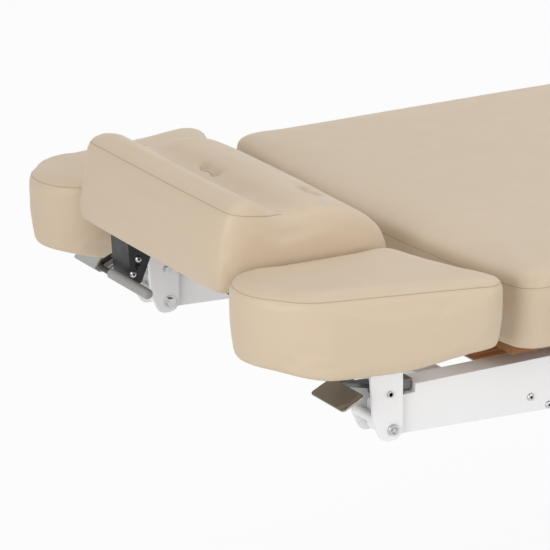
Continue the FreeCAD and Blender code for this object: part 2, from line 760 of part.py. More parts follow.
def build_release_lever():
    """Round rod: shaft through the bracket, bend, drop, bend, and back along the grip."""
    shaft = Vector(s.shaft_back, 0, -s.shaft_drop)
    handle = Vector(s.grip_back, 0, -s.grip_drop)
    out = Vector(0, 1, 0)
    inner = shaft - out * (s.catch_width / 2 + s.rod_radius)
    far_end = handle + out * (s.grip_outer_end - s.grip_length)
    path = Part.makePolygon([inner, shaft + out * s.crank_out, handle + out * s.crank_out, far_end])
    ring = Part.Wire(Part.makeCircle(s.rod_radius, inner, out))
    rod = doc.addObject("Part::Feature", "release_lever")
    rod.Label = "release_lever"
    rod.Shape = path.makePipeShell([ring], True, False, 1)
    keep(on_headrest(rod, 0, catch_y))
    profile = [
        ("rod_radius + grip_bore_gap", "0"),
        ("grip_radius", "0"),
        ("grip_radius", "grip_length + 0.4 * grip_radius"),
        ("0", "grip_length + 0.4 * grip_radius"),
        ("0", "grip_length"),
        ("rod_radius + grip_bore_gap", "grip_length"),
    ]
    grip = turned("release_grip", profile)
    grip.Placement = Placement(Vector(), Rotation(Vector(0, 0, 1), 180))
    keep(on_headrest(grip, s.grip_back, catch_y + s.grip_outer_end, -s.grip_drop))


def build_headrest_support():
    """Two black bars from the cross bar up to the headrest hinge, with the hinge pins."""
    tilt = math.radians(s.headrest_tilt)
    axis_x = -s.headrest_front + s.hinge_back * math.cos(tilt) - s.hinge_drop * math.sin(tilt)
    axis_z = s.headrest_rise - s.hinge_back * math.sin(tilt) - s.hinge_drop * math.cos(tilt)
    tilted = "headrest_tilt * 1 deg"
    x = f"(-headrest_front + hinge_back * cos({tilted}) - hinge_drop * sin({tilted}))"
    z = f"(headrest_rise - hinge_back * sin({tilted}) - hinge_drop * cos({tilted}))"
    bar_top = "(arm_top - support_bar_drop)"
    corners = [
        (f"{x} - hinge_round", f"{z} - hinge_round"),
        ("support_bar - bar_width / 2", bar_top),
        ("support_bar + bar_width / 2", bar_top),
        ("support_bar + bar_width / 2", f"{bar_top} + hinge_round"),
        (f"{x} + hinge_round", f"{z} + hinge_round"),
        (f"{x} - hinge_round", f"{z} + hinge_round"),
    ]
    holes = [(x, z, "hinge_pin_radius + running_gap")]
    bars = []
    pins = []
    middle = s.hinge_spread + (s.lug_thickness + s.support_thickness) / 2 + s.support_play
    for side, sign in SIDES:
        rounds = [((5,), "0.92 * hinge_round")]
        bar = plate(f"support_bar_{side}", corners, "support_thickness", holes, rounds)
        bars.append(at(bar, 0, sign * middle))
        reach = "lug_thickness / 2 + support_play + support_thickness / 2"
        profile = [
            ("0", f"-{reach} - lug_thickness / 2"),
            ("hinge_pin_radius", f"-{reach} - lug_thickness / 2"),
            ("hinge_pin_radius", "support_thickness / 2"),
            ("1.5 * hinge_pin_radius", "support_thickness / 2"),
            ("1.5 * hinge_pin_radius", "support_thickness / 2 + 0.6 * hinge_pin_radius"),
            ("0", "support_thickness / 2 + 0.6 * hinge_pin_radius"),
        ]
        pin = turned(f"hinge_pin_{side}", profile)
        if sign < 0:
            pin.Placement = Placement(Vector(), Rotation(Vector(0, 0, 1), 180))
        pins.append(at(pin, axis_x, sign * middle, axis_z))
    keep(group("headrest_support", bars))
    keep(group("headrest_hinge_pins", pins))


# Back section


def build_arm(side, sign):
    tail = f"{HIP} - arm_tail_gap"
    corners = [
        ("-arm_nose", "-arm_heel"),
        ("arm_taper_end", "-arm_tail"),
        (tail, "-arm_tail"),
        (tail, "arm_top"),
        ("notch_back", "arm_top"),
        ("notch_back", "notch_floor"),
        ("notch_front", "notch_floor"),
        ("-arm_nose", "brow_height"),
    ]
    holes = [("0", "0", "bolt_radius + running_gap")]
    rounds = [((0,), "0.8 * arm_nose"), ((7,), "arm_nose / 2")]
    arm = plate(f"back_arm_{side}", corners, "arm_width", holes, rounds)
    inside = [
        ("arm_solid", "-2 * arm_tail"),
        (f"{tail} + arm_wall", "-2 * arm_tail"),
        (f"{tail} + arm_wall", "arm_top - arm_wall"),
        ("arm_solid", "arm_top - arm_wall"),
    ]
    hollow(arm, inside, "arm_width - 2 * arm_wall")
    keep(at(arm, 0, sign * arm_y))


def build_back_frame():
    between = f"2 * {ARM} - arm_width"
    inner = arm_y - s.arm_width / 2
    bars = (
        ("headrest_crossbar", s.support_bar, s.arm_top - s.support_bar_drop),
        ("middle_crossbar", s.middle_bar, s.arm_top),
        ("hip_crossbar", hip_x - s.hip_bar, s.arm_top),
    )
    for label, x, top in bars:
        bar = square_tube(label, "bar_width", between, "bar_depth", "bar_wall", "Y")
        keep(at(bar, x - s.bar_width / 2, -inner, top - s.bar_depth))
    build_battens("back", s.batten_head, "back_head + back_length - board_inset - batten_head", inner)
    across = block(
        "back_batten_head", "batten_width", f"2 * {ARM} - arm_width - 2 * batten_width", "batten_height"
    )
    at(across, s.batten_head, s.batten_width - inner, s.arm_top)
    battens = doc.getObject("back_battens")
    battens.Links = battens.Links + [across]
    back = padded("back_cushion", bowed_arcs(), cushion_bottom, s.cushion_thickness, s.cushion_crown)
    board = block(
        "back_board",
        "back_length - 2 * board_inset",
        "bed_width - 2 * board_inset",
        "board_thickness",
    )
    keep(at(board, s.back_head + s.board_inset, s.board_inset - s.bed_width / 2, board_bottom))
    keep(back)


def build_battens(name, start, run, outer):
    """Timber battens under a board, their outer faces the given distance from the centre line."""
    items = []
    for side, sign in SIDES:
        batten = block(f"{name}_batten_{side}", run, "batten_width", "batten_height")
        edge = outer - s.batten_width if sign > 0 else -outer
        items.append(at(batten, start, edge, s.arm_top))
    keep(group(f"{name}_battens", items))


def build_hip(side, sign, plates, stubs):
    """Hip plates outside the cushions: the back's plate turns on the pin of the frame's plate."""
    half = "ear_foot / 2"
    foot_low = "arm_top - ear_foot_depth"
    for owner, direction in (("back", -1), ("frame", 1)):
        swing = "-" if direction < 0 else "+"
        other = "+" if direction < 0 else "-"
        middle = f"{HIP} {swing} ear_foot_out"
        corners = [
            (f"{HIP} {other} ear_round", f"{HIP_RISE} + ear_round"),
            (f"{HIP} {swing} ear_round", f"{HIP_RISE} + ear_round"),
            (f"{middle} {swing} {half}", "arm_top"),
            (f"{middle} {swing} {half}", foot_low),
            (f"{middle} {other} {half}", foot_low),
            (f"{HIP} {other} ear_round", f"{HIP_RISE} - ear_round"),
        ]
        holes = [(HIP, HIP_RISE, "hip_pin_radius + running_gap")]
        rounds = [((0, 1), "0.92 * ear_round")]
        ear = plate(f"{owner}_hip_plate_{side}", corners, "ear_thickness", holes, rounds)
        out = s.bed_width / 2 + s.ear_gap + s.ear_thickness / 2
        if owner == "frame":
            out += s.ear_thickness + s.ear_play
        plates[owner].append(at(ear, 0, sign * out))
        inner = arm_y + (s.arm_width if owner == "back" else s.rail_width) / 2
        inner_formula = f"{ARM} + {'arm_width' if owner == 'back' else 'rail_width'} / 2"
        gap = "ear_gap" if owner == "back" else "ear_gap + ear_thickness + ear_play"
        reach = f"bed_width / 2 + {gap} - ({inner_formula})"
        stub = square_tube(f"{owner}_hip_stub_{side}", "stub_width", reach, "stub_width", "bar_wall", "Y")
        outer = out - s.ear_thickness / 2
        start_y = inner if sign > 0 else -outer
        stub_z = s.arm_top - s.ear_foot_depth / 2 - s.stub_width / 2
        stubs[owner].append(at(stub, hip_x + direction * s.ear_foot_out - s.stub_width / 2, start_y, stub_z))
    profile = [
        ("0", "-ear_thickness - ear_play - ear_thickness / 2"),
        ("hip_pin_radius", "-ear_thickness - ear_play - ear_thickness / 2"),
        ("hip_pin_radius", "ear_thickness / 2"),
        ("hip_pin_head", "ear_thickness / 2"),
        ("hip_pin_head", "ear_thickness / 2 + hip_pin_head_height"),
        ("0", "ear_thickness / 2 + hip_pin_head_height"),
    ]
    pin = turned(f"hip_pin_{side}", profile)
    if sign < 0:
        pin.Placement = Placement(Vector(), Rotation(Vector(0, 0, 1), 180))
    out = s.bed_width / 2 + s.ear_gap + 1.5 * s.ear_thickness + s.ear_play
    return at(pin, hip_x, sign * out, hip_z)


# Back drive


def build_drive():
    """Crank plates on the back's hip bar, and the actuator on the frame that pushes them."""
    rest = math.radians(s.drive_sweep)
    shortest = s.drive_drop - s.drive_pin_radius - s.slot_play
    longest = s.drive_drop / math.cos(rest) + s.drive_pin_radius + s.slot_play
    half = s.drive_pin_radius + s.slot_play
    radial = Vector(math.sin(rest), 0, -math.cos(rest))
    aside = Vector(math.cos(rest), 0, math.sin(rest))
    hip = Vector(hip_x, 0, hip_z)
    wide = half + s.crank_margin
    bar = Vector(hip_x - s.hip_bar, 0, s.arm_top)
    corners = [
        bar + Vector(-s.bar_width / 2, 0, -s.bar_depth - s.bar_wall),
        bar + Vector(s.bar_width / 2, 0, -s.bar_depth - s.bar_wall),
        hip + radial * longest - aside * wide,
        hip + radial * (longest + s.crank_margin) - aside * half,
        hip + radial * (longest + s.crank_margin) + aside * half,
        hip + radial * longest + aside * wide,
        hip + radial * (shortest - s.crank_margin) + aside * wide,
        hip + radial * (shortest - s.crank_margin) - aside * wide,
        bar + Vector(s.bar_width / 2, 0, 0),
        bar + Vector(s.bar_width / 2, 0, -s.bar_depth),
        bar + Vector(-s.bar_width / 2, 0, -s.bar_depth),
    ]
    slot = [
        hip + radial * shortest - aside * half,
        hip + radial * longest - aside * half,
        hip + radial * longest + aside * half,
        hip + radial * shortest + aside * half,
    ]
    sheet_shape = Part.Face(Part.makePolygon(corners + corners[:1]))
    sheet_shape = sheet_shape.cut(Part.Face(Part.makePolygon(slot + slot[:1])))
    solid = sheet_shape.extrude(Vector(0, s.crank_thickness, 0))
    plates = []
    for name, edge in (("inner", -s.crank_gap / 2 - s.crank_thickness), ("outer", s.crank_gap / 2)):
        crank = doc.addObject("Part::Feature", f"crank_{name}")
        crank.Shape = solid
        plates.append(at(crank, 0, s.drive_out + edge))
    keep(group("back_crank", plates))
    rod = rod_along("drive_rod_bar", "rod_thick", "rod_length", Vector(1, 0, 0))
    at(rod, drive_x, s.drive_out, drive_z)
    span = "crank_gap + 2 * crank_thickness + 2 * drive_pin_radius"
    pin = rod_along("drive_rod_pin", "drive_pin_radius", span, Vector(0, 1, 0))
    reach = s.crank_gap / 2 + s.crank_thickness + s.drive_pin_radius
    at(pin, drive_x, s.drive_out - reach, drive_z)
    eye = rod_along("drive_rod_eye", "1.5 * rod_thick", "crank_gap - 2 * drive_pin_radius", Vector(0, 1, 0))
    at(eye, drive_x, s.drive_out - s.crank_gap / 2 + s.drive_pin_radius, drive_z)
    joined = make("Part::MultiFuse", "drive_rod")
    joined.Shapes = [rod, pin, eye]
    keep(joined)
    tube_wall = rod_along("drive_tube_wall", "tube_radius", "tube_length", Vector(1, 0, 0))
    tube_bore = rod_along("drive_tube_bore", "rod_thick + running_gap", "tube_length", Vector(1, 0, 0))
    tube = make("Part::Cut", "drive_tube")
    tube.Base = tube_wall
    tube.Tool = tube_bore
    keep(at(tube, drive_x + s.tube_start, s.drive_out, drive_z))
    motor = plate(
        "drive_motor",
        [
            ("0", "-motor_height / 2"),
            ("motor_length", "-motor_height / 2"),
            ("motor_length", "motor_height / 2"),
            ("0", "motor_height / 2"),
        ],
        "motor_width",
        (),
        [((0, 1, 2, 3), "motor_height / 5")],
    )
    shift = s.motor_height / 2 - s.tube_radius
    keep(at(motor, drive_x + s.tube_start + s.tube_length, s.drive_out, drive_z + shift))


# Lifting frame and base


def build_lifting_frame():
    start = hip_x + s.rail_start
    length = "leg_length + hip_gap / 2 - rail_start - rail_end_gap"
    for side, sign in SIDES:
        rail = square_tube(f"leg_rail_{side}", length, "rail_width", "rail_depth", "bar_wall", "X")
        keep(at(rail, start, sign * arm_y - s.rail_width / 2, s.arm_top - s.rail_depth))
    inner = arm_y - s.rail_width / 2
    ties = []
    for name, x in (("first", s.tie_first), ("last", s.tie_last)):
        tie = square_tube(f"tie_{name}", "bar_width", f"2 * {ARM} - rail_width", "bar_depth", "bar_wall", "Y")
        ties.append(at(tie, hip_x + x - s.bar_width / 2, -inner, beam_top))
    keep(group("leg_tie_bars", ties))
    beam_length = "beam_front + tie_last + bar_width"
    beam = square_tube("main_beam", beam_length, "beam_width", "beam_depth", "beam_wall", "X")
    keep(at(beam, hip_x - s.beam_front, -s.beam_width / 2, beam_bottom))
    leg_front = hip_x + s.hip_gap / 2 + s.board_inset
    build_battens("leg", leg_front, "leg_length - 2 * board_inset", arm_y + s.rail_width / 2)
    across = "bed_width - 2 * board_inset"
    board = block("leg_board", "leg_length - 2 * board_inset", across, "board_thickness")
    keep(at(board, leg_front, s.board_inset - s.bed_width / 2, board_bottom))
    keep(padded("leg_cushion", leg_arcs(), cushion_bottom, s.cushion_thickness, s.cushion_crown))


def build_columns():
    outer_run = beam_bottom - s.column_cover - (base_top + s.plate_thickness)
    inner_run = beam_bottom - (base_top + s.plate_thickness + s.column_floor)
    below = "(foot_height + base_depth + plate_thickness - pivot_height)"
    beam = f"({HIP_RISE} - drive_drop - tube_radius - bar_depth - beam_depth)"
    inner_side = "column_outer - 2 * column_wall - 2 * sliding_gap"
    plates = []
    for name, x in (("head", hip_x - s.column_head), ("foot", hip_x - s.column_head + s.column_span)):
        outer = square_tube(
            f"column_outer_{name}", "column_outer", "column_outer", f"{beam} - column_cover - {below}",
            "column_wall", "Z",
        )
        half = s.column_outer / 2
        keep(at(outer, x - half, -half, base_top + s.plate_thickness))
        inner = square_tube(
            f"column_inner_{name}", inner_side, inner_side, f"{beam} - column_floor - {below}",
            "column_wall", "Z",
        )
        half -= s.column_wall + s.sliding_gap
        keep(at(inner, x - half, -half, base_top + s.plate_thickness + s.column_floor))
        base = block(f"column_plate_{name}", "plate_side", "plate_side", "plate_thickness")
        plates.append(at(base, x - s.plate_side / 2, -s.plate_side / 2, base_top))
    if min(outer_run, inner_run) <= 0:
        raise RuntimeError("the bed is too low for its columns")
    keep(group("column_plates", plates))


def build_base():
    head = hip_x - s.column_head - s.base_over
    foot = hip_x - s.column_head + s.column_span + s.base_over
    low = s.foot_height - s.pivot_height
    run = "column_span + 2 * base_over - base_width"
    beam = square_tube("base_beam", run, "base_width", "base_depth", "beam_wall", "X")
    keep(at(beam, head + s.base_width / 2, -s.base_width / 2, low))
    across = "2 * (foot_out + base_foot_end)"
    crossfeet = []
    feet = []
    for name, x in (("head", head), ("foot", foot)):
        cross = square_tube(f"crossfoot_{name}", "base_width", across, "base_depth", "beam_wall", "Y")
        crossfeet.append(at(cross, x - s.base_width / 2, -s.foot_out - s.base_foot_end, low))
        for side, sign in SIDES:
            pad = make("Part::Prism", f"foot_{name}_{side}", Circumradius="foot_radius", Height="foot_height")
            pad.Polygon = 8
            feet.append(at(pad, x, sign * s.foot_out, -s.pivot_height))
    keep(group("base_crossfeet", crossfeet))
    keep(group("levelling_feet", feet))
    box = plate(
        "control_box",
        [
            ("-control_length / 2", "0"),
            ("control_length / 2", "0"),
            ("control_length / 2", "control_height"),
            ("-control_length / 2", "control_height"),
        ],
        "control_width",
        (),
        [((2, 3), "control_edge")],
    )
    inlet = [
        ("control_length / 2 - inlet_depth", "(control_height - inlet_height) / 2"),
        ("control_length", "(control_height - inlet_height) / 2"),
        ("control_length", "(control_height + inlet_height) / 2"),
        ("control_length / 2 - inlet_depth", "(control_height + inlet_height) / 2"),
    ]
    hollow(box, inlet, "inlet_width")
    keep(at(box, hip_x - s.column_head + s.column_span / 2, 0, base_top))


def build_all():
    build_base()
    build_columns()
    build_lifting_frame()
    plates = {"back": [], "frame": []}
    stubs = {"back": [], "frame": []}
    pins = [build_hip(side, sign, plates, stubs) for side, sign in SIDES]
    keep(group("hip_pins", pins))
    for owner in plates:
        keep(group(f"{owner}_hip_plates", plates[owner]))
        keep(group(f"{owner}_hip_stubs", stubs[owner]))
    build_back_frame()
    build_drive()
    build_headrest_support()
    build_headrest()
    for side, sign in SIDES:
        build_arm(side, sign)
        build_armrest(side, sign)


def check_all():
    """Stop before anything is written if an object failed or a piece isn't sound."""
    doc.recompute()
    for item in doc.Objects:
        if "Invalid" in item.State or "Error" in item.State:
            raise RuntimeError(f"{item.Label} did not build: {item.State}")
    for item in nodes:
        if item.Shape.isNull() or not item.Shape.isValid() or not item.Shape.Solids:
            raise RuntimeError(f"{item.Label} is not a sound solid")


build_all()
check_all()
os.makedirs("parts", exist_ok=True)
for item in nodes:
    item.Shape.exportStep(f"parts/{item.Label}.step")
print(f"{len(nodes)} pieces written")
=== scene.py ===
"""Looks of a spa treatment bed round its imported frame: upholstery, painted steel, timber, fasteners and studio."""
import json
import math

import bmesh
import bpy
from bpy.props import FloatProperty, FloatVectorProperty, PointerProperty
from mathutils import Matrix, Vector
from mathutils.bvhtree import BVHTree


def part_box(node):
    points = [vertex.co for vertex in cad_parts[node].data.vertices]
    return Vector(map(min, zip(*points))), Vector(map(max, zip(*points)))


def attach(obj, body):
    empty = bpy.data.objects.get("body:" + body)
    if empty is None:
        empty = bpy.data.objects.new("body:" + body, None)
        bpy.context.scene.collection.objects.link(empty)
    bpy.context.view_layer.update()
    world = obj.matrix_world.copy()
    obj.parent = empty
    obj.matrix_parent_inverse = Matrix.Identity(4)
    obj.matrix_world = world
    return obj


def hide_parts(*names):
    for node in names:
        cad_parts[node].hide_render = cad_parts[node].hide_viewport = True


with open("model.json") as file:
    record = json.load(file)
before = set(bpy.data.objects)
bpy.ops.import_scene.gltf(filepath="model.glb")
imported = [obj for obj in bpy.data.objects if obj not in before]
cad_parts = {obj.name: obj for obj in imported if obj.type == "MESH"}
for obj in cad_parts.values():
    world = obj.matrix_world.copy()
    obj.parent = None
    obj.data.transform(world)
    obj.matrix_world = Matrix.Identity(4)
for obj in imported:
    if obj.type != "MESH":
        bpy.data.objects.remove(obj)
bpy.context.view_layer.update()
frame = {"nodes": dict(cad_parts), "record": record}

bl_info = {
    "name": "Spa Treatment Bed",
    "version": (1, 0, 0),
    "blender": (4, 5, 0),
    "location": "View3D > Sidebar > Treatment Bed",
    "description": "Dresses the treatment bed's frame with its cushions, finishes, fasteners and studio",
    "category": "Object",
}

# Lengths are in metres, unless a comment gives millimetres.

MM = 0.001
SAME_HEIGHT = 1e-5
SAME_POINT = 1e-6
NODES = frame["nodes"]
RECORD = frame["record"]
SLOT_OF = {entry["node"]: entry["material_slot"] for entry in RECORD["subparts"]}
BODY_OF = {node: body for body, members in RECORD["behaviour"]["bodies"].items() for node in members}
SIDES = (("left", 1), ("right", -1))


def box_middle(node):
    low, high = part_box(node)
    return (low + high) / 2


PIVOT = box_middle("armrest_pivot_bolt_right")
ARM_OUT = abs(box_middle("back_arm_right").y)


def from_pivot(x, y, z):
    """A point given in millimetres from the armrest pivot, Y from the centre line."""
    return Vector((PIVOT.x + x * MM, y * MM, PIVOT.z + z * MM))


# The headrest's own frame: from its front lower edge, with X falling towards the back cushion.
HEADREST_SLOPE = math.radians(11.2)
HEADREST = Matrix.Translation(from_pivot(-172, 0, 177)) @ Matrix.Rotation(HEADREST_SLOPE, 4, "Y")


def srgb(red, green, blue):
    """A colour as it is seen, in steps of 255, for the shader."""
    shares = [step / 255 for step in (red, green, blue)]
    return tuple(c / 12.92 if c <= 0.04045 else ((c + 0.055) / 1.055) ** 2.4 for c in shares)


def length_size(name, description, default):
    return FloatProperty(name=name, description=description, default=default, unit="LENGTH", precision=4)


def finish_colour(name, description, default):
    return FloatVectorProperty(name=name, description=description, default=default, subtype="COLOR", size=3,
                               min=0.0, max=1.0)


class BedSizes(bpy.types.PropertyGroup):
    """Small sizes of the dressing"""

    seam_depth: length_size("Seam depth", "How far a seam pulls the cover in", 0.0013)
    seam_width: length_size("Seam width", "How far a seam's pull is felt to each side", 0.0045)
    seam_cord: length_size("Seam fold", "Radius of the folded edge in a seam", 0.0005)
    swell: length_size("Cover swell", "The most that the cover stands off its foam", 0.004)
    tuft_depth: length_size("Tuft depth", "Depth of the sewn tufts in the headrest", 0.014)
    edge_ease: length_size("Edge ease", "Rounding of sheet and tube edges", 0.0007)
    bend_radius: length_size("Rod bend", "Radius of the bends of the release lever", 0.009)


class BedFinishes(bpy.types.PropertyGroup):
    """Colours of the finishes"""

    upholstery: finish_colour("Upholstery", "Cream cover", srgb(211, 192, 167))
    # The seam colour is painted shade: a little darker than the cover, for the shade in a seam's fold and a tuft's
    # crease.
    seam: finish_colour("Seam", "Shaded fold of a seam", srgb(188, 169, 146))
    white_paint: finish_colour("White paint", "Powder coat of the frame", srgb(245, 245, 246))
    black_paint: finish_colour("Black paint", "Headrest bracket and supports", srgb(31, 33, 33))
    zinc: finish_colour("Zinc", "Plated fasteners and tubes", srgb(200, 202, 204))
    chrome: finish_colour("Chrome", "Polished paddles and rod", srgb(162, 162, 160))
    steel_lever: finish_colour("Steel lever", "Bare pressed steel", srgb(112, 112, 110))
    timber: finish_colour("Timber", "Stained battens", srgb(150, 98, 52))
    plywood: finish_colour("Plywood", "Boards", srgb(148, 103, 60))
    dust_cover: finish_colour("Dust cover", "Black cloth under the headrest", srgb(34, 34, 35))
    grip: finish_colour("Grip", "Grey release grip", srgb(160, 160, 158))
    plastic: finish_colour("Plastic", "Housings and tube ends", srgb(44, 45, 47))
    rubber: finish_colour("Rubber", "Levelling feet", srgb(36, 36, 37))


# Finishes


def shade_group(name, inputs, outputs):
    group = bpy.data.node_groups.new(name, "ShaderNodeTree")
    for label, kind, default in inputs:
        socket = group.interface.new_socket(name=label, in_out="INPUT", socket_type=kind)
        socket.default_value = default
    for label, kind in outputs:
        group.interface.new_socket(name=label, in_out="OUTPUT", socket_type=kind)
    return group, group.nodes.new("NodeGroupInput"), group.nodes.new("NodeGroupOutput")


def noise_in(tree, coordinates, scale, detail):
    """Noise whose scale is a number or another node's output."""
    noise = tree.nodes.new("ShaderNodeTexNoise")
    noise.inputs["Detail"].default_value = detail
    tree.links.new(coordinates, noise.inputs["Vector"])
    if isinstance(scale, (int, float)):
        noise.inputs["Scale"].default_value = scale
    else:
        tree.links.new(scale, noise.inputs["Scale"])
    return noise


def mottle_group():
    """Slow drift of a colour over a surface."""
    group, enter, leave = shade_group(
        "Mottle",
        [("Colour", "NodeSocketColor", (0.8, 0.8, 0.8, 1)), ("Spread", "NodeSocketFloat", 0.05),
         ("Scale", "NodeSocketFloat", 6.0)],
        [("Colour", "NodeSocketColor")],
    )
    place = group.nodes.new("ShaderNodeTexCoord")
    noise = noise_in(group, place.outputs["Object"], enter.outputs["Scale"], 3.0)
    centred = group.nodes.new("ShaderNodeMath")
    centred.operation = "SUBTRACT"
    centred.inputs[1].default_value = 0.5
    group.links.new(noise.outputs["Fac"], centred.inputs[0])
    gain = group.nodes.new("ShaderNodeMath")
    gain.operation = "MULTIPLY_ADD"
    gain.inputs[2].default_value = 1.0
    group.links.new(centred.outputs[0], gain.inputs[0])
    group.links.new(enter.outputs["Spread"], gain.inputs[1])
    tint = group.nodes.new("ShaderNodeVectorMath")
    tint.operation = "SCALE"
    group.links.new(enter.outputs["Colour"], tint.inputs[0])
    group.links.new(gain.outputs[0], tint.inputs["Scale"])
    group.links.new(tint.outputs["Vector"], leave.inputs["Colour"])
    return group


def gloss_group():
    """Roughness that wanders between two values."""
    group, enter, leave = shade_group(
        "Uneven Gloss",
        [("Low", "NodeSocketFloat", 0.3), ("High", "NodeSocketFloat", 0.5), ("Scale", "NodeSocketFloat", 20.0)],
        [("Roughness", "NodeSocketFloat")],
    )
    place = group.nodes.new("ShaderNodeTexCoord")
    noise = noise_in(group, place.outputs["Object"], enter.outputs["Scale"], 4.0)
    spread = group.nodes.new("ShaderNodeMapRange")
    spread.inputs["From Min"].default_value = 0.3
    spread.inputs["From Max"].default_value = 0.7
    group.links.new(noise.outputs["Fac"], spread.inputs["Value"])
    group.links.new(enter.outputs["Low"], spread.inputs["To Min"])
    group.links.new(enter.outputs["High"], spread.inputs["To Max"])
    group.links.new(spread.outputs["Result"], leave.inputs["Roughness"])
    return group


def grain_group():
    """Fine pebbled relief of grained hide, plastic or paint."""
    group, enter, leave = shade_group(
        "Pebble Grain",
        [("Scale", "NodeSocketFloat", 600.0), ("Fineness", "NodeSocketFloat", 0.5)],
        [("Height", "NodeSocketFloat")],
    )
    place = group.nodes.new("ShaderNodeTexCoord")
    cells = group.nodes.new("ShaderNodeTexVoronoi")
    cells.feature = "SMOOTH_F1"
    group.links.new(place.outputs["Object"], cells.inputs["Vector"])
    group.links.new(enter.outputs["Scale"], cells.inputs["Scale"])
    noise = noise_in(group, place.outputs["Object"], enter.outputs["Scale"], 2.0)
    blend = group.nodes.new("ShaderNodeMix")
    group.links.new(enter.outputs["Fineness"], blend.inputs["Factor"])
    group.links.new(cells.outputs["Distance"], blend.inputs["A"])
    group.links.new(noise.outputs["Fac"], blend.inputs["B"])
    group.links.new(blend.outputs["Result"], leave.inputs["Height"])
    return group


def shared(name, maker):
    return bpy.data.node_groups.get(name) or maker()


def place_group(tree, group, **values):
    node = tree.nodes.new("ShaderNodeGroup")
    node.node_tree = group
    for label, value in values.items():
        node.inputs[label].default_value = value
    return node


def new_surface(name, colour, specular):
    """A material with its node tree and its shader."""
    material = bpy.data.materials.new(name)
    material.use_nodes = True
    material.diffuse_color = (*colour, 1)
    tree = material.node_tree
    shader = tree.nodes["Principled BSDF"]
    shader.inputs["Specular IOR Level"].default_value = specular
    return tree, shader


def add_gloss(tree, shader, low, high, scale):
    wander = place_group(tree, shared("Uneven Gloss", gloss_group), Low=low, High=high, Scale=scale)
    tree.links.new(wander.outputs["Roughness"], shader.inputs["Roughness"])


def add_relief(tree, shader, height, strength, depth):
    bump = tree.nodes.new("ShaderNodeBump")
    bump.inputs["Strength"].default_value = strength
    bump.inputs["Distance"].default_value = depth
    tree.links.new(height, bump.inputs["Height"])
    tree.links.new(bump.outputs["Normal"], shader.inputs["Normal"])


def finish(name, colour, mottle, gloss, grain, metallic=0.0, specular=0.5, sheen=0.0):
    """A surface from the shared effects.

    mottle is (spread, scale), gloss is (low, high, scale) and grain is (scale, fineness, depth).
    """
    tree, shader = new_surface(name, colour, specular)
    shader.inputs["Metallic"].default_value = metallic
    shader.inputs["Sheen Weight"].default_value = sheen
    spread, scale = mottle
    tint = place_group(tree, shared("Mottle", mottle_group), Colour=(*colour, 1), Spread=spread, Scale=scale)
    tree.links.new(tint.outputs["Colour"], shader.inputs["Base Color"])
    add_gloss(tree, shader, *gloss)
    scale, fineness, depth = grain
    relief = place_group(tree, shared("Pebble Grain", grain_group), Scale=scale, Fineness=fineness)
    add_relief(tree, shader, relief.outputs["Height"], 0.6, depth)


def wood_finish(name, colour, stretch, rings, contrast, rough):
    """Timber whose grain runs along the bed, with darker late wood."""
    tree, shader = new_surface(name, colour, 0.35)
    place = tree.nodes.new("ShaderNodeTexCoord")
    turn = tree.nodes.new("ShaderNodeMapping")
    turn.inputs["Scale"].default_value = stretch
    tree.links.new(place.outputs["Object"], turn.inputs["Vector"])
    wave = tree.nodes.new("ShaderNodeTexWave")
    wave.bands_direction = "Z"
    wave.inputs["Scale"].default_value = rings
    wave.inputs["Distortion"].default_value = 3.5
    wave.inputs["Detail"].default_value = 3.0
    tree.links.new(turn.outputs["Vector"], wave.inputs["Vector"])
    fibre = noise_in(tree, turn.outputs["Vector"], 90.0, 5.0)
    mix = tree.nodes.new("ShaderNodeMix")
    mix.data_type = "RGBA"
    mix.inputs["A"].default_value = (*[c * (1 - contrast) for c in colour], 1)
    mix.inputs["B"].default_value = (*[min(1.0, c * (1 + contrast)) for c in colour], 1)
    tree.links.new(wave.outputs["Fac"], mix.inputs["Factor"])
    tree.links.new(mix.outputs["Result"], shader.inputs["Base Color"])
    add_gloss(tree, shader, *rough, 60.0)
    add_relief(tree, shader, fibre.outputs["Fac"], 0.5, 0.0003)


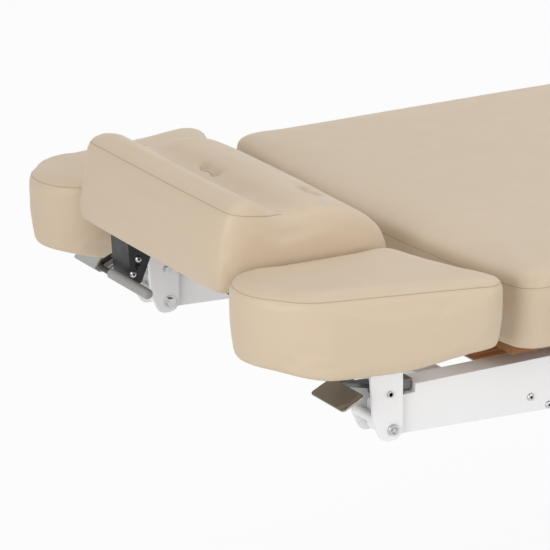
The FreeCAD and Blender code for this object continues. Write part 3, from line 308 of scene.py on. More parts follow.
# For each slot, and for the seams: the maker, the material's name, its colour in BedFinishes and its surface.
FINISHES = {
    "upholstery": (finish, "Cream Cover", "upholstery", dict(
        mottle=(0.05, 5.0), gloss=(0.42, 0.54, 30.0), grain=(1100.0, 0.35, 0.00012), specular=0.4, sheen=0.08)),
    # Painted shade: the seam and tuft lines wear this darker colour for the shade in their folds.
    "seam": (finish, "Seam Fold", "seam", dict(
        mottle=(0.1, 60.0), gloss=(0.6, 0.75, 80.0), grain=(1500.0, 0.5, 0.0001), specular=0.2)),
    "white_paint": (finish, "White Powder Coat", "white_paint", dict(
        mottle=(0.03, 8.0), gloss=(0.3, 0.42, 40.0), grain=(700.0, 0.8, 0.00006), specular=0.45)),
    "black_paint": (finish, "Black Paint", "black_paint", dict(
        mottle=(0.25, 20.0), gloss=(0.34, 0.5, 60.0), grain=(900.0, 0.8, 0.00008))),
    "chrome": (finish, "Polished Chrome", "chrome", dict(
        mottle=(0.03, 30.0), gloss=(0.05, 0.11, 90.0), grain=(300.0, 1.0, 0.00001), metallic=1.0)),
    "zinc": (finish, "Zinc Plate", "zinc", dict(
        mottle=(0.15, 60.0), gloss=(0.22, 0.4, 120.0), grain=(900.0, 0.7, 0.00003), metallic=1.0)),
    "steel_lever": (finish, "Bare Steel", "steel_lever", dict(
        mottle=(0.2, 50.0), gloss=(0.28, 0.46, 100.0), grain=(800.0, 0.7, 0.00004), metallic=1.0)),
    "timber": (wood_finish, "Stained Timber", "timber", dict(
        stretch=(3.0, 14.0, 30.0), rings=1.6, contrast=0.22, rough=(0.5, 0.7))),
    "plywood": (wood_finish, "Plywood", "plywood", dict(
        stretch=(1.5, 2.0, 160.0), rings=1.1, contrast=0.16, rough=(0.55, 0.75))),
    "dust_cover": (finish, "Dust Cover Cloth", "dust_cover", dict(
        mottle=(0.2, 30.0), gloss=(0.8, 0.95, 200.0), grain=(1600.0, 0.9, 0.0002), specular=0.2)),
    "grey_grip": (finish, "Grey Grip", "grip", dict(
        mottle=(0.06, 40.0), gloss=(0.42, 0.56, 90.0), grain=(1200.0, 0.6, 0.00006))),
    "dark_plastic": (finish, "Grained Plastic", "plastic", dict(
        mottle=(0.1, 30.0), gloss=(0.45, 0.6, 70.0), grain=(1000.0, 0.4, 0.00012))),
    "foot_rubber": (finish, "Foot Rubber", "rubber", dict(
        mottle=(0.15, 40.0), gloss=(0.65, 0.85, 90.0), grain=(700.0, 0.5, 0.00015), specular=0.3)),
}


def make_finishes(tones):
    for maker, name, tone, surface in FINISHES.values():
        maker(name, getattr(tones, tone), **surface)


def material_for(slot):
    return bpy.data.materials[FINISHES[slot][1]]


# Pieces

FLAT_ANGLE = math.radians(0.8)
SHARP_ANGLE = math.radians(35)
EASED_SMOOTH, PIECE_SMOOTH = math.radians(32), math.radians(40)


def points_in(items):
    return [item for item in items if isinstance(item, bmesh.types.BMVert)]


def edges_in(items):
    return [item for item in items if isinstance(item, bmesh.types.BMEdge)]


def edges_at(points):
    """The edges that meet some points, each once and in a steady order."""
    return list(dict.fromkeys(edge for point in points for edge in point.link_edges))


def new_object(name, data):
    thing = bpy.data.objects.new(name, data)
    bpy.context.scene.collection.objects.link(thing)
    return thing


def mesh_of(name, form):
    """The mesh of a finished bmesh."""
    mesh = bpy.data.meshes.new(name)
    form.to_mesh(mesh)
    form.free()
    return mesh


def smooth_all(mesh):
    mesh.polygons.foreach_set("use_smooth", [True] * len(mesh.polygons))


def settle(piece, body, slot, stands_for=(), look=None):
    """Give a piece the material of its slot, hang it on its body and hide the nodes that it stands for."""
    piece.data.materials.clear()
    piece.data.materials.append(material_for(look or slot))
    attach(piece, body)
    if stands_for:
        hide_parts(*stands_for)
    return piece


def add_piece(name, form, body, slot, stands_for=(), smooth_below=PIECE_SMOOTH):
    """A finished piece from a bmesh, riding on its body."""
    mesh = mesh_of(name, form)
    smooth_all(mesh)
    mesh.set_sharp_from_angle(angle=smooth_below)
    return settle(new_object(name, mesh), body, slot, stands_for)


def round_edges(form, edges, radius, segments):
    bmesh.ops.bevel(form, geom=edges, offset=radius, offset_type="OFFSET", segments=segments, profile=0.5,
                    affect="EDGES", clamp_overlap=True, material=-1)


def eased_copy(node, radius, slot=None):
    """The node's own shape with its sharp edges rounded, standing for it."""
    form = bmesh.new()
    form.from_mesh(NODES[node].data)
    bmesh.ops.remove_doubles(form, verts=form.verts, dist=SAME_POINT)
    bmesh.ops.dissolve_limit(form, angle_limit=FLAT_ANGLE, verts=form.verts, edges=form.edges)
    sharp = [edge for edge in form.edges
             if len(edge.link_faces) == 2 and edge.calc_face_angle(0) > SHARP_ANGLE]
    round_edges(form, sharp, radius, 2)
    piece = add_piece(f"{node}_dressed", form, BODY_OF[node], slot or SLOT_OF[node], (node,), EASED_SMOOTH)
    flat = piece.modifiers.new("Flat faces", "WEIGHTED_NORMAL")
    flat.keep_sharp = True


# Cushions

COVER_PRESSURE, HEADREST_PRESSURE = 4.0, 3.5
SMALL_SWELL = 0.6  # share of the swell on armrests and headrest
SWELL_FRAMES = 20
SEAM_STEPS = 540
SEAM_FROM = 3  # how far outside a cushion the seam's rays start
SEAM_PROUD = 0.1  # share of the fold's radius that it stands off the cover


def bake(piece):
    """Turn a piece's modifiers into its mesh."""
    graph = bpy.context.evaluated_depsgraph_get()
    done = bpy.data.meshes.new_from_object(piece.evaluated_get(graph))
    piece.modifiers.clear()
    piece.data = done


def relax_skin(piece, rounds):
    skin = bmesh.new()
    skin.from_mesh(piece.data)
    for _ in range(rounds):
        bmesh.ops.smooth_vert(skin, verts=skin.verts, factor=0.5, use_axis_x=True, use_axis_y=True, use_axis_z=True)
    skin.to_mesh(piece.data)
    skin.free()


def foam(name, form, voxel, relax):
    """Even skin over a cushion's rough form."""
    bmesh.ops.recalc_face_normals(form, faces=form.faces)
    piece = new_object(name, mesh_of(name, form))
    remesh = piece.modifiers.new("Even skin", "REMESH")
    remesh.mode = "VOXEL"
    remesh.voxel_size = voxel
    bake(piece)
    relax_skin(piece, relax)
    return piece


def swell(piece, pressure, cap, held_below):
    """Blow the cover up against its seams a little, its underside held to the board."""
    start = [vertex.co.copy() for vertex in piece.data.vertices]
    held = piece.vertex_groups.new(name="held")
    held.add([index for index, spot in enumerate(start) if spot.z < held_below], 1.0, "REPLACE")
    cloth = piece.modifiers.new("Cover", "CLOTH")
    settings = cloth.settings
    settings.quality = 4
    settings.mass = 0.4
    settings.tension_stiffness = 25
    settings.compression_stiffness = 25
    settings.shear_stiffness = 10
    settings.bending_stiffness = 3
    settings.use_pressure = True
    settings.uniform_pressure_force = pressure
    settings.effector_weights.gravity = 0
    settings.vertex_group_mass = "held"
    cloth.collision_settings.use_collision = False
    cloth.point_cache.frame_end = SWELL_FRAMES
    scene = bpy.context.scene
    for number in range(1, SWELL_FRAMES + 1):
        scene.frame_set(number)
    graph = bpy.context.evaluated_depsgraph_get()
    blown = piece.evaluated_get(graph).to_mesh()
    ends = [vertex.co.copy() for vertex in blown.vertices]
    piece.evaluated_get(graph).to_mesh_clear()
    piece.modifiers.clear()
    piece.vertex_groups.clear()
    for vertex, old, new in zip(piece.data.vertices, start, ends):
        move = new - old
        if move.length > cap:
            move *= cap / move.length
        vertex.co = old + move
    scene.frame_set(1)
    relax_skin(piece, 2)


def shape(piece, rule):
    """Move each point of a cushion by a rule of its place and its outward direction."""
    moves = [rule(vertex.co, vertex.normal) for vertex in piece.data.vertices]
    for vertex, move in zip(piece.data.vertices, moves):
        vertex.co += move
    piece.data.update()


def keep_above(piece, height):
    """Press a cushion's underside flat."""
    for vertex in piece.data.vertices:
        vertex.co.z = max(vertex.co.z, height)


def ease_in(value, low, high):
    share = min(1.0, max(0.0, (value - low) / (high - low)))
    return share * share * (3 - 2 * share)


def bell(value, width):
    return math.exp(-(value / width) ** 2)


def upholster(piece, body, node):
    """Finish a cushion: smooth skin, cover material, its place in the frame."""
    smooth = piece.modifiers.new("Smooth skin", "SUBSURF")
    smooth.levels = 1
    smooth.render_levels = 1
    smooth_all(piece.data)
    settle(piece, body, "upholstery", (node,))


def shaded_fold_line(name, spots, body, closed, radius):
    """The thin folded edge that shows in a seam or a tuft, in the darker seam colour: painted shade of the fold."""
    line = bpy.data.curves.new(name, "CURVE")
    line.dimensions = "3D"
    line.bevel_depth = radius
    line.bevel_resolution = 1
    line.use_fill_caps = not closed
    run = line.splines.new("POLY")
    run.points.add(len(spots) - 1)
    for point, spot in zip(run.points, spots):
        point.co = (*spot, 1)
    run.use_cyclic_u = closed
    rough = new_object(name + "_run", line)
    graph = bpy.context.evaluated_depsgraph_get()
    mesh = bpy.data.meshes.new_from_object(rough.evaluated_get(graph))
    bpy.data.objects.remove(rough)
    bpy.data.curves.remove(line)
    mesh.name = name
    smooth_all(mesh)
    settle(new_object(name, mesh), body, "upholstery", look="seam")


def cover_skin(piece):
    """The cover as it will show, for finding points on it."""
    return BVHTree.FromObject(piece, bpy.context.evaluated_depsgraph_get())


def on_cover(place, outward, sizes):
    """A seam's point, a little proud of the cover."""
    return place + outward * SEAM_PROUD * sizes.seam_cord


def seam_round(piece, body, height, sizes, slope=0.0, level_at=0.0):
    """A seam right round a cushion, level or falling steadily along the bed."""
    skin = cover_skin(piece)
    places = [vertex.co for vertex in piece.data.vertices]
    middle = sum(places, Vector()) / len(places)
    start = Vector((middle.x, middle.y, height + slope * (middle.x - level_at)))
    spots = []
    for step in range(SEAM_STEPS):
        angle = 2 * math.pi * step / SEAM_STEPS
        run = Vector((math.cos(angle), math.sin(angle), slope * math.cos(angle)))
        place, outward, _, _ = skin.ray_cast(start + SEAM_FROM * run, -run.normalized())
        if place is not None:
            spots.append(on_cover(place, outward, sizes))
    shaded_fold_line(piece.name + "_seam", spots, body, True, sizes.seam_cord)


def seam_pull(height, sizes):
    """How a level seam draws the side of a cushion in."""

    def pull(spot, outward):
        side = Vector((outward.x, outward.y, 0))
        return -side * sizes.seam_depth * bell(spot.z - height, sizes.seam_width)

    return pull


# Back and leg cushions

BODY_INSET = Vector((0.002, 0.002, -0.005))  # foam inside the node's sides and above its top
BODY_WRAP = 0.004  # how far the cover goes below the node
BODY_SEAM = 0.014  # seam below the node's top
BODY_CORNER, BOWED_CORNER = 0.03, 0.034
BODY_TOP_ROUND, BODY_LOW_ROUND = 0.016, 0.004
BODY_CROWN = 0.009  # highest that the cover may stand over the node
BODY_HELD = 0.002  # height over the node's underside up to which the cover is held
BODY_TUCK = 0.007  # how far the sides go in at the underside
TUCK_FROM, TUCK_TO = -0.01, 0.07  # heights over the node's underside between which that fades
HEAD_BOW = 2.5  # radius of the back cushion's bowed head end
BOW_FROM, BOW_FULL = 0.1, 0.95  # shares of the length, from the foot end, between which the bow grows


def slab_form(low, high, head_radius, foot_radius):
    """Rounded slab of a body cushion."""
    form = bmesh.new()
    place = Matrix.Translation((low + high) / 2) @ Matrix.Diagonal((*(high - low), 1))
    bmesh.ops.create_cube(form, size=1.0, matrix=place)
    middle = (low.x + high.x) / 2
    for end, radius in ((-1, head_radius), (1, foot_radius)):
        upright = []
        for edge in form.edges:
            first, second = edge.verts
            level = abs(first.co.z - second.co.z) < SAME_HEIGHT
            if not level and (first.co.x - middle) * end > 0.3 * (high.x - low.x):
                upright.append(edge)
        round_edges(form, upright, radius, 8)
    for height, radius in ((high.z, BODY_TOP_ROUND), (low.z, BODY_LOW_ROUND)):
        rim = [edge for edge in form.edges
               if all(abs(vertex.co.z - height) < SAME_HEIGHT for vertex in edge.verts)]
        round_edges(form, rim, radius, 4)
    return form


def body_cushion(node, body, sizes, voxel, bow=None):
    """A crowned slab on its board, whose head end may be bowed out."""
    low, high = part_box(node)
    foam_low = low + BODY_INSET
    foam_low.z = low.z - BODY_WRAP
    seam = high.z - BODY_SEAM
    head_radius = BOWED_CORNER if bow else BODY_CORNER
    form = slab_form(foam_low, high - BODY_INSET, head_radius, BODY_CORNER)
    piece = foam(f"{node}_cover", form, voxel, 3)
    swell(piece, COVER_PRESSURE, sizes.swell, low.z + BODY_HELD)
    span = high.x - low.x
    pull = seam_pull(seam, sizes)

    def settle_shape(spot, outward):
        move = Vector()
        if bow:
            reach = bow - math.sqrt(bow * bow - spot.y * spot.y)
            move.x += reach * ease_in((high.x - spot.x) / span, BOW_FROM, BOW_FULL)
        side = Vector((outward.x, outward.y, 0))
        move -= side * BODY_TUCK * (1 - ease_in(spot.z, low.z + TUCK_FROM, low.z + TUCK_TO))
        return move + pull(spot, outward)

    shape(piece, settle_shape)
    for vertex in piece.data.vertices:
        vertex.co.z = min(vertex.co.z, high.z + BODY_CROWN)
    keep_above(piece, foam_low.z)
    upholster(piece, body, node)
    seam_round(piece, body, seam, sizes)


# Armrest cushions

# Discs of the teardrop, in millimetres: along from the pivot, outwards from the arm, radius.
ARMREST_DISCS = ((-134, -19, 70), (-110, 0, 76), (96, 86, 28), (45, -64, 27))
# How far the discs are inset at each height over the node's underside, in millimetres.
ARMREST_LEVELS = (
    (11, -4.5), (8.5, -2.5), (7, 8), (5, 24), (2.5, 52), (1.5, 90), (1.5, 104), (4, 108), (11, 110.4), (24, 111.5),
)
ARMREST_VOXEL = 0.0045
ARMREST_SEAM = 0.007  # seam below the node's top
ARMREST_UNDER = 0.0045  # how far the cover goes below the node
ARMREST_HELD = 0.003  # height over the node's underside up to which the cover is held
NOSE_LIFT, NOSE_RUN = 0.016, 0.1  # the underside's rise towards the nose, and over what length
BACK_LIFT, BACK_RUN = 0.018, 0.15
LIFT_FADES = 0.085  # height at which that rise has died out
TOP_FALL = 0.007  # fall of the top from nose to back


def armrest_form(floor, sign):
    """Teardrop hull: round nose, slanting outer side, nearly square back."""
    form = bmesh.new()
    for inset, rise in ARMREST_LEVELS:
        for x, out, radius in ARMREST_DISCS:
            spot = from_pivot(x, 0, 0)
            spot.y = sign * (ARM_OUT + out * MM)
            spot.z = floor + rise * MM
            bmesh.ops.create_circle(form, cap_ends=False, segments=64, radius=(radius - inset) * MM,
                                    matrix=Matrix.Translation(spot))
    hull = bmesh.ops.convex_hull(form, input=form.verts)
    spare = dict.fromkeys(points_in(hull["geom_interior"] + hull["geom_unused"]))
    bmesh.ops.delete(form, geom=list(spare), context="VERTS")
    return form


def armrest_cushion(side, sign, sizes):
    node = f"armrest_cushion_{side}"
    low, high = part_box(node)
    seam = high.z - ARMREST_SEAM
    piece = foam(f"{node}_cover", armrest_form(low.z, sign), ARMREST_VOXEL, 3)
    swell(piece, COVER_PRESSURE, SMALL_SWELL * sizes.swell, low.z + ARMREST_HELD)
    length = high.x - low.x
    pull = seam_pull(seam, sizes)

    def settle_shape(spot, outward):
        keel = NOSE_LIFT * ease_in(low.x + NOSE_RUN - spot.x, 0.0, NOSE_RUN)
        keel += BACK_LIFT * ease_in(spot.x, high.x - BACK_RUN, high.x)
        lift = keel * (1 - ease_in(spot.z, low.z, low.z + LIFT_FADES))
        return Vector((0, 0, lift)) + pull(spot, outward)

    def slope_back(spot, outward):
        share = (spot.x - low.x) / length
        return Vector((0, 0, -TOP_FALL * share * ease_in(spot.z, low.z, high.z)))

    shape(piece, settle_shape)
    shape(piece, slope_back)
    keep_above(piece, low.z - ARMREST_UNDER)
    upholster(piece, BODY_OF[node], node)
    seam_round(piece, BODY_OF[node], seam, sizes, -TOP_FALL / length, low.x)


# Headrest cushion

# Outline of ridge, hollow and neck roll in the headrest's own frame, in millimetres.
HEADREST_CONTOUR = (
    (-7, -6), (232, -3), (238, 20), (241, 47), (237, 70), (223, 91), (201, 105), (172, 113.5), (141, 115.5),
    (115, 111.5), (92, 105), (68, 102), (45, 107), (24, 114), (7, 115), (-9, 108), (-15, 99), (-16, 64), (-13, 20),
)
HEADREST_HALF = 194.5 * MM
HEADREST_END_ROUND = 0.017
HEADREST_VOXEL = 0.0045
HEADREST_UNDER, HEADREST_HELD = -0.006, 0.003
HEADREST_REACH = 0.194  # half width over which sag and bulge fade out
HOLLOW_SAG, HOLLOW_AT, HOLLOW_WIDTH = 0.010, 0.072, 0.034
TOP_FROM, TOP_FULL = 0.06, 0.085  # heights between which a point comes to count as the top
FRONT_BULGE, FRONT_RUN = 0.003, 0.03
BACK_BULGE, BACK_FROM, BACK_FULL = 0.008, 0.19, 0.24
FOLD_X, FOLD_Z = -0.0135, 0.0995  # the front seam's place
FOLD_ENDS = 0.97  # share of the half width where the seam's pull stops
# Sewn tufts, in millimetres along and across, with the share of their depth.
TUFTS = ((98, 49, 0.9), (158, -98, 0.85))
CREASE_SHARE, CREASE_HALF, CREASE_WIDTH = 0.35, 0.026, 0.0065
DIP_SHARE, DIP_OUT, DIP_LENGTH = 0.45, 0.017, 0.008
BROAD_SHARE, BROAD_LENGTH, BROAD_WIDTH = 0.2, 0.05, 0.026
STITCH_HALF, STITCH_STEPS = 0.024, 12
SEAM_HUB = Vector((0.05, 0.14, FOLD_Z))  # middle of the corner that the front seam goes round
SEAM_TAIL, TAIL_STEPS = 0.024, 10  # the seam's run along each end, past the corner
CORNER_STEPS, FRONT_STEPS = 24, 70
SEAM_RAY, SEAM_NEAREST = 0.4, 0.03  # a seam ray's start, and the least that its point lies out
STITCH_RAY = 0.3


def headrest_form():
    """Contour of ridge, hollow and neck roll, drawn out across the bed."""
    form = bmesh.new()
    ring = [form.verts.new((x * MM, -HEADREST_HALF, z * MM)) for x, z in HEADREST_CONTOUR]
    end = form.faces.new(ring)
    grown = bmesh.ops.extrude_face_region(form, geom=[end], use_keep_orig=True)["geom"]
    bmesh.ops.translate(form, verts=points_in(grown), vec=(0, 2 * HEADREST_HALF, 0))
    rims = [edge for edge in form.edges
            if abs(abs(edge.verts[0].co.y) - HEADREST_HALF) < SAME_POINT
            and abs(edge.verts[0].co.y - edge.verts[1].co.y) < SAME_POINT]
    round_edges(form, rims, HEADREST_END_ROUND, 6)
    return form


def headrest_seam_rays():
    """Where the front seam runs: round both ends and along the front, each ray with its outward direction."""
    end = []
    for step in range(TAIL_STEPS + 1):
        tail = Vector((SEAM_TAIL * (1 - step / TAIL_STEPS), 0, 0))
        end.append((SEAM_HUB + tail, Vector((0, 1, 0))))
    for step in range(1, CORNER_STEPS):
        angle = math.radians(90 + 90 * step / CORNER_STEPS)
        end.append((SEAM_HUB, Vector((math.cos(angle), math.sin(angle), 0))))
    front = []
    for step in range(2 * FRONT_STEPS + 1):
        across = SEAM_HUB.y * (1 - step / FRONT_STEPS)
        front.append((Vector((SEAM_HUB.x, across, SEAM_HUB.z)), Vector((-1, 0, 0))))
    flip = Vector((1, -1, 1))
    return end + front + [(spot * flip, heading * flip) for spot, heading in reversed(end)]


def tuft_pull(spot, sizes):
    """How deep the sewn tufts draw the top in: a crease with two deeper ends in a broad hollow."""
    depth = 0.0
    for x, y, strength in TUFTS:
        along = abs(spot.y - y * MM)
        aside = spot.x - x * MM
        crease = CREASE_SHARE * math.exp(-((along / CREASE_HALF) ** 4))
        dips = DIP_SHARE * bell(along - DIP_OUT, DIP_LENGTH)
        broad = BROAD_SHARE * bell(along, BROAD_LENGTH) * bell(aside, BROAD_WIDTH)
        depth += sizes.tuft_depth * strength * ((crease + dips) * bell(aside, CREASE_WIDTH) + broad)
    return depth


def headrest_seam(skin, sizes):
    """Points of the front seam on the cover, in the bed's frame."""
    spots = []
    for origin, heading in headrest_seam_rays():
        place, outward, _, _ = skin.ray_cast(origin + SEAM_RAY * heading, -heading)
        if place is not None and (place - origin).dot(heading) > SEAM_NEAREST:
            spots.append(HEADREST @ on_cover(place, outward, sizes))
    return spots


def tuft_stitches(skin, x, y):
    """Points of a tuft's stitched line on the cover, in the bed's frame."""
    spots = []
    for step in range(2 * STITCH_STEPS + 1):
        across = y * MM + STITCH_HALF * (step / STITCH_STEPS - 1)
        place = skin.ray_cast(Vector((x * MM, across, STITCH_RAY)), Vector((0, 0, -1)))[0]
        if place is not None:
            spots.append(HEADREST @ place)
    return spots


def headrest_cushion(sizes):
    node = "headrest_cushion"
    piece = foam(f"{node}_cover", headrest_form(), HEADREST_VOXEL, 4)
    swell(piece, HEADREST_PRESSURE, SMALL_SWELL * sizes.swell, HEADREST_HELD)

    def settle_shape(spot, outward):
        across = spot.y / HEADREST_REACH
        fade = 1 - across * across
        top = ease_in(spot.z, TOP_FROM, TOP_FULL)
        sag = HOLLOW_SAG * fade * bell(spot.x - HOLLOW_AT, HOLLOW_WIDTH)
        front = FRONT_BULGE * fade * ease_in(FRONT_RUN - spot.x, 0, FRONT_RUN)
        back = BACK_BULGE * fade * ease_in(spot.x, BACK_FROM, BACK_FULL)
        move = Vector((back - front, 0, -top * (sag + tuft_pull(spot, sizes))))
        if abs(across) < FOLD_ENDS:
            fold = bell(math.hypot(spot.x - FOLD_X, spot.z - FOLD_Z), sizes.seam_width)
            move -= outward * sizes.seam_depth * fold
        return move

    shape(piece, settle_shape)
    keep_above(piece, HEADREST_UNDER)
    skin = cover_skin(piece)
    seam = headrest_seam(skin, sizes)
    for number, (x, y, _) in enumerate(TUFTS, start=1):
        shaded_fold_line(f"headrest_tuft_{number}", tuft_stitches(skin, x, y), "headrest", False, 1.4 * sizes.seam_cord)
    piece.data.transform(HEADREST)
    upholster(piece, "headrest", node)
    shaded_fold_line("headrest_cushion_cover_seam", seam, "headrest", False, sizes.seam_cord)


# Fasteners

# A button head's profile from its rim up: share of the radius, share of the height.
BUTTON_PROFILE = ((1.0, 0.35), (0.93, 0.65), (0.78, 0.88), (0.6, 1.0))
SOCKET_RADIUS, SOCKET_DEPTH = 0.42, 0.6  # shares of the head's radius and height
WASHER_RADIUS, WASHER_BORE = 1.25, 0.55  # shares of the head's radius
WASHER_THICK = 0.0014
BRACKET_BOLTS = (("pivot", 0.0078, 0.0044), ("latch", 0.0046, 0.003))  # head radius and height
CHEEK_INSIDE = 0.028  # the bracket's inboard face, from the arm's middle
ARM_BOLTS = ((217, 0.5), (246, -15.5))  # millimetres from the pivot, along and up
ARM_BOLT_HEAD = (0.0052, 0.0032)
ARM_FACE = 0.018  # the arm's outer face, from its middle
CATCH_SCREWS = ((-135.6, 130.7), (-143.4, 111.0))  # millimetres from the pivot, along and up
CATCH_SCREW_HEAD = (0.0048, 0.0028)


def socket_head(form, place, radius, height):
    """A button head with a hexagon socket, standing on its own X-Y plane."""
    rim = bmesh.ops.create_circle(form, cap_ends=True, segments=28, radius=radius)["verts"]
    made = list(rim)
    edges = edges_at(rim)
    for share, level in BUTTON_PROFILE:
        grown = bmesh.ops.extrude_edge_only(form, edges=edges)["geom"]
        verts, edges = points_in(grown), edges_in(grown)
        for vertex in verts:
            flat = Vector((vertex.co.x, vertex.co.y, 0)).normalized() * radius * share
            vertex.co = Vector((flat.x, flat.y, level * height))
        made += verts
    hexagon = bmesh.ops.create_circle(form, cap_ends=False, segments=6, radius=SOCKET_RADIUS * radius,
                                      matrix=Matrix.Translation((0, 0, height)))["verts"]
    hex_edges = edges_at(hexagon)
    bmesh.ops.bridge_loops(form, edges=edges + hex_edges)
    sunk = bmesh.ops.extrude_edge_only(form, edges=hex_edges)["geom"]
    floor = points_in(sunk)
    bmesh.ops.translate(form, verts=floor, vec=(0, 0, -SOCKET_DEPTH * height))
    bmesh.ops.contextual_create(form, geom=edges_in(sunk))
    made += hexagon + floor
    bmesh.ops.transform(form, matrix=place, verts=made)


def washer(form, place, radius, bore):
    """A flat ring standing on its own X-Y plane."""
    outer = bmesh.ops.create_circle(form, cap_ends=False, segments=32, radius=radius)["verts"]
    inner = bmesh.ops.create_circle(form, cap_ends=False, segments=32, radius=bore)["verts"]
    ring = bmesh.ops.bridge_loops(form, edges=edges_at(outer + inner))["faces"]
    grown = bmesh.ops.extrude_face_region(form, geom=ring, use_keep_orig=True)["geom"]
    top = points_in(grown)
    bmesh.ops.translate(form, verts=top, vec=(0, 0, WASHER_THICK))
    bmesh.ops.transform(form, matrix=place, verts=outer + inner + top)


def facing(x, y, z, sign):
    """A place whose own Z looks along Y, outboard on the side of the sign."""
    return Matrix.Translation((x, y, z)) @ Matrix.Rotation(math.radians(-90 * sign), 4, "X")


def add_fasteners(name, form, body):
    bmesh.ops.recalc_face_normals(form, faces=form.faces)
    add_piece(name, form, body, "zinc")


def bracket_fasteners(side, sign):
    for name, radius, height in BRACKET_BOLTS:
        node = f"armrest_{name}_bolt_{side}"
        low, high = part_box(node)
        axis = (low + high) / 2
        outer_face = (high.y if sign > 0 else low.y) - sign * height
        inner_face = sign * (ARM_OUT - CHEEK_INSIDE)
        form = bmesh.new()
        socket_head(form, facing(axis.x, outer_face, axis.z, sign), radius, height)
        washer(form, facing(axis.x, inner_face, axis.z, -sign), WASHER_RADIUS * radius, WASHER_BORE * radius)
        add_fasteners(f"{node}_head", form, BODY_OF[node])


def arm_fasteners(side, sign):
    form = bmesh.new()
    for x, z in ARM_BOLTS:
        spot = from_pivot(x, 0, z)
        socket_head(form, facing(spot.x, sign * (ARM_OUT + ARM_FACE), spot.z, sign), *ARM_BOLT_HEAD)
    add_fasteners(f"arm_bolts_{side}", form, "back_section")


def catch_screws():
    """Button heads on the near cheek of the black bracket."""
    near_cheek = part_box("headrest_catch")[0].y
    form = bmesh.new()
    for x, z in CATCH_SCREWS:
        spot = from_pivot(x, 0, z)
        socket_head(form, facing(spot.x, near_cheek, spot.z, -1), *CATCH_SCREW_HEAD)
    add_fasteners("catch_screws", form, "headrest")


# Release lever, in the headrest's own frame

ACROSS = Vector((0, 1, 0))
LEVER_SHAFT = Vector((0.048, 0, -0.050))
LEVER_HANDLE = Vector((0.0255, 0, -0.067))
ROD_RADIUS = 0.004
ROD_START, ROD_CORNER, ROD_END = -0.028, 0.043, -0.09  # across, from the bracket's middle
GRIP_NEAR, GRIP_FAR = -0.0985, 0.006
GRIP_BORE = 0.0042
BEND_STEPS = 8


def upright_ring(form, spot, segments, radius):
    """The edges of a capped circle that faces across the bed."""
    place = Matrix.Translation(spot) @ Matrix.Rotation(math.radians(90), 4, "X")
    ring = bmesh.ops.create_circle(form, cap_ends=True, segments=segments, radius=radius, matrix=place)["verts"]
    return edges_at(ring)


def draw_on(form, edges, vector):
    """Draw a tube's open rim on by a vector."""
    grown = bmesh.ops.extrude_edge_only(form, edges=edges)["geom"]
    bmesh.ops.translate(form, verts=points_in(grown), vec=vector)
    return edges_in(grown)


def bend_on(form, edges, centre, axis):
    """Draw a tube's open rim on round a right-angled bend."""
    made = bmesh.ops.spin(form, geom=edges, cent=centre, axis=axis, angle=math.radians(90), steps=BEND_STEPS,
                          use_merge=False)["geom_last"]
    return edges_in(made)


def add_lever_piece(name, form, slot, node):
    bmesh.ops.recalc_face_normals(form, faces=form.faces)
    bmesh.ops.transform(form, matrix=HEADREST, verts=form.verts)
    add_piece(name, form, "release_lever", slot, (node,))


def release_rod(catch_y, bend):
    """Round rod with two bends, from its shaft in the bracket to the handle."""
    drop = LEVER_HANDLE - LEVER_SHAFT
    down = drop.normalized()
    axis = ACROSS.cross(down)
    start_y, bend_y = catch_y + ROD_START, catch_y + ROD_CORNER - bend
    form = bmesh.new()
    edges = upright_ring(form, (LEVER_SHAFT.x, start_y, LEVER_SHAFT.z), 20, ROD_RADIUS)
    edges = draw_on(form, edges, ACROSS * (bend_y - start_y))
    edges = bend_on(form, edges, Vector((LEVER_SHAFT.x, bend_y, LEVER_SHAFT.z)) + down * bend, axis)
    edges = draw_on(form, edges, down * (drop.length - 2 * bend))
    edges = bend_on(form, edges, Vector((LEVER_HANDLE.x, bend_y, LEVER_HANDLE.z)) - down * bend, axis)
    edges = draw_on(form, edges, -ACROSS * (bend_y - (catch_y + ROD_END)))
    bmesh.ops.contextual_create(form, geom=edges)
    bmesh.ops.remove_doubles(form, verts=form.verts, dist=SAME_POINT)
    add_lever_piece("release_rod", form, "black_paint", "release_lever")


def release_grip(catch_y):
    """Grey grip with rounded ends on the rod's lower run."""
    far, length = catch_y + GRIP_FAR, GRIP_FAR - GRIP_NEAR
    profile = ((0.006, 0.0), (0.0071, 0.0014), (0.0071, 0.004), (0.0071, length - 0.006),
               (0.0068, length - 0.003), (0.0058, length - 0.001), (0.0038, length))
    form = bmesh.new()
    edges = upright_ring(form, (LEVER_HANDLE.x, far, LEVER_HANDLE.z), 32, GRIP_BORE)
    for radius, along in profile:
        edges = draw_on(form, edges, Vector())
        for vertex in dict.fromkeys(vertex for edge in edges for vertex in edge.verts):
            flat = Vector((vertex.co.x - LEVER_HANDLE.x, 0, vertex.co.z - LEVER_HANDLE.z)).normalized() * radius
            vertex.co = Vector((LEVER_HANDLE.x + flat.x, far - along, LEVER_HANDLE.z + flat.z))
    bmesh.ops.contextual_create(form, geom=edges)
    add_lever_piece("release_grip_cover", form, "grey_grip", "release_grip")


# Tube ends

X_AXIS, Y_AXIS = 0, 1
CAPPED_TUBES = (("base_crossfeet", Y_AXIS), ("main_beam", X_AXIS), ("leg_rail_left", X_AXIS),
                ("leg_rail_right", X_AXIS))
CAP_THICK, CAP_SUNK = 0.004, 0.0005
CAP_INSET = Vector((0.001, 0.001, 0.001))
CAP_EASE = 0.0012


def tube_boxes(node):
    """Boxes of the loose tubes that share a node, told apart along X."""
    low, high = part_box(node)
    if node != "base_crossfeet":
        return [(low, high)]
    middle = (low.x + high.x) / 2
    places = [vertex.co for vertex in NODES[node].data.vertices]
    boxes = []
    for end in (-1, 1):
        own = [spot for spot in places if (spot.x - middle) * end > 0]
        boxes.append(tuple(Vector([pick(spot[axis] for spot in own) for axis in range(3)]) for pick in (min, max)))
    return boxes


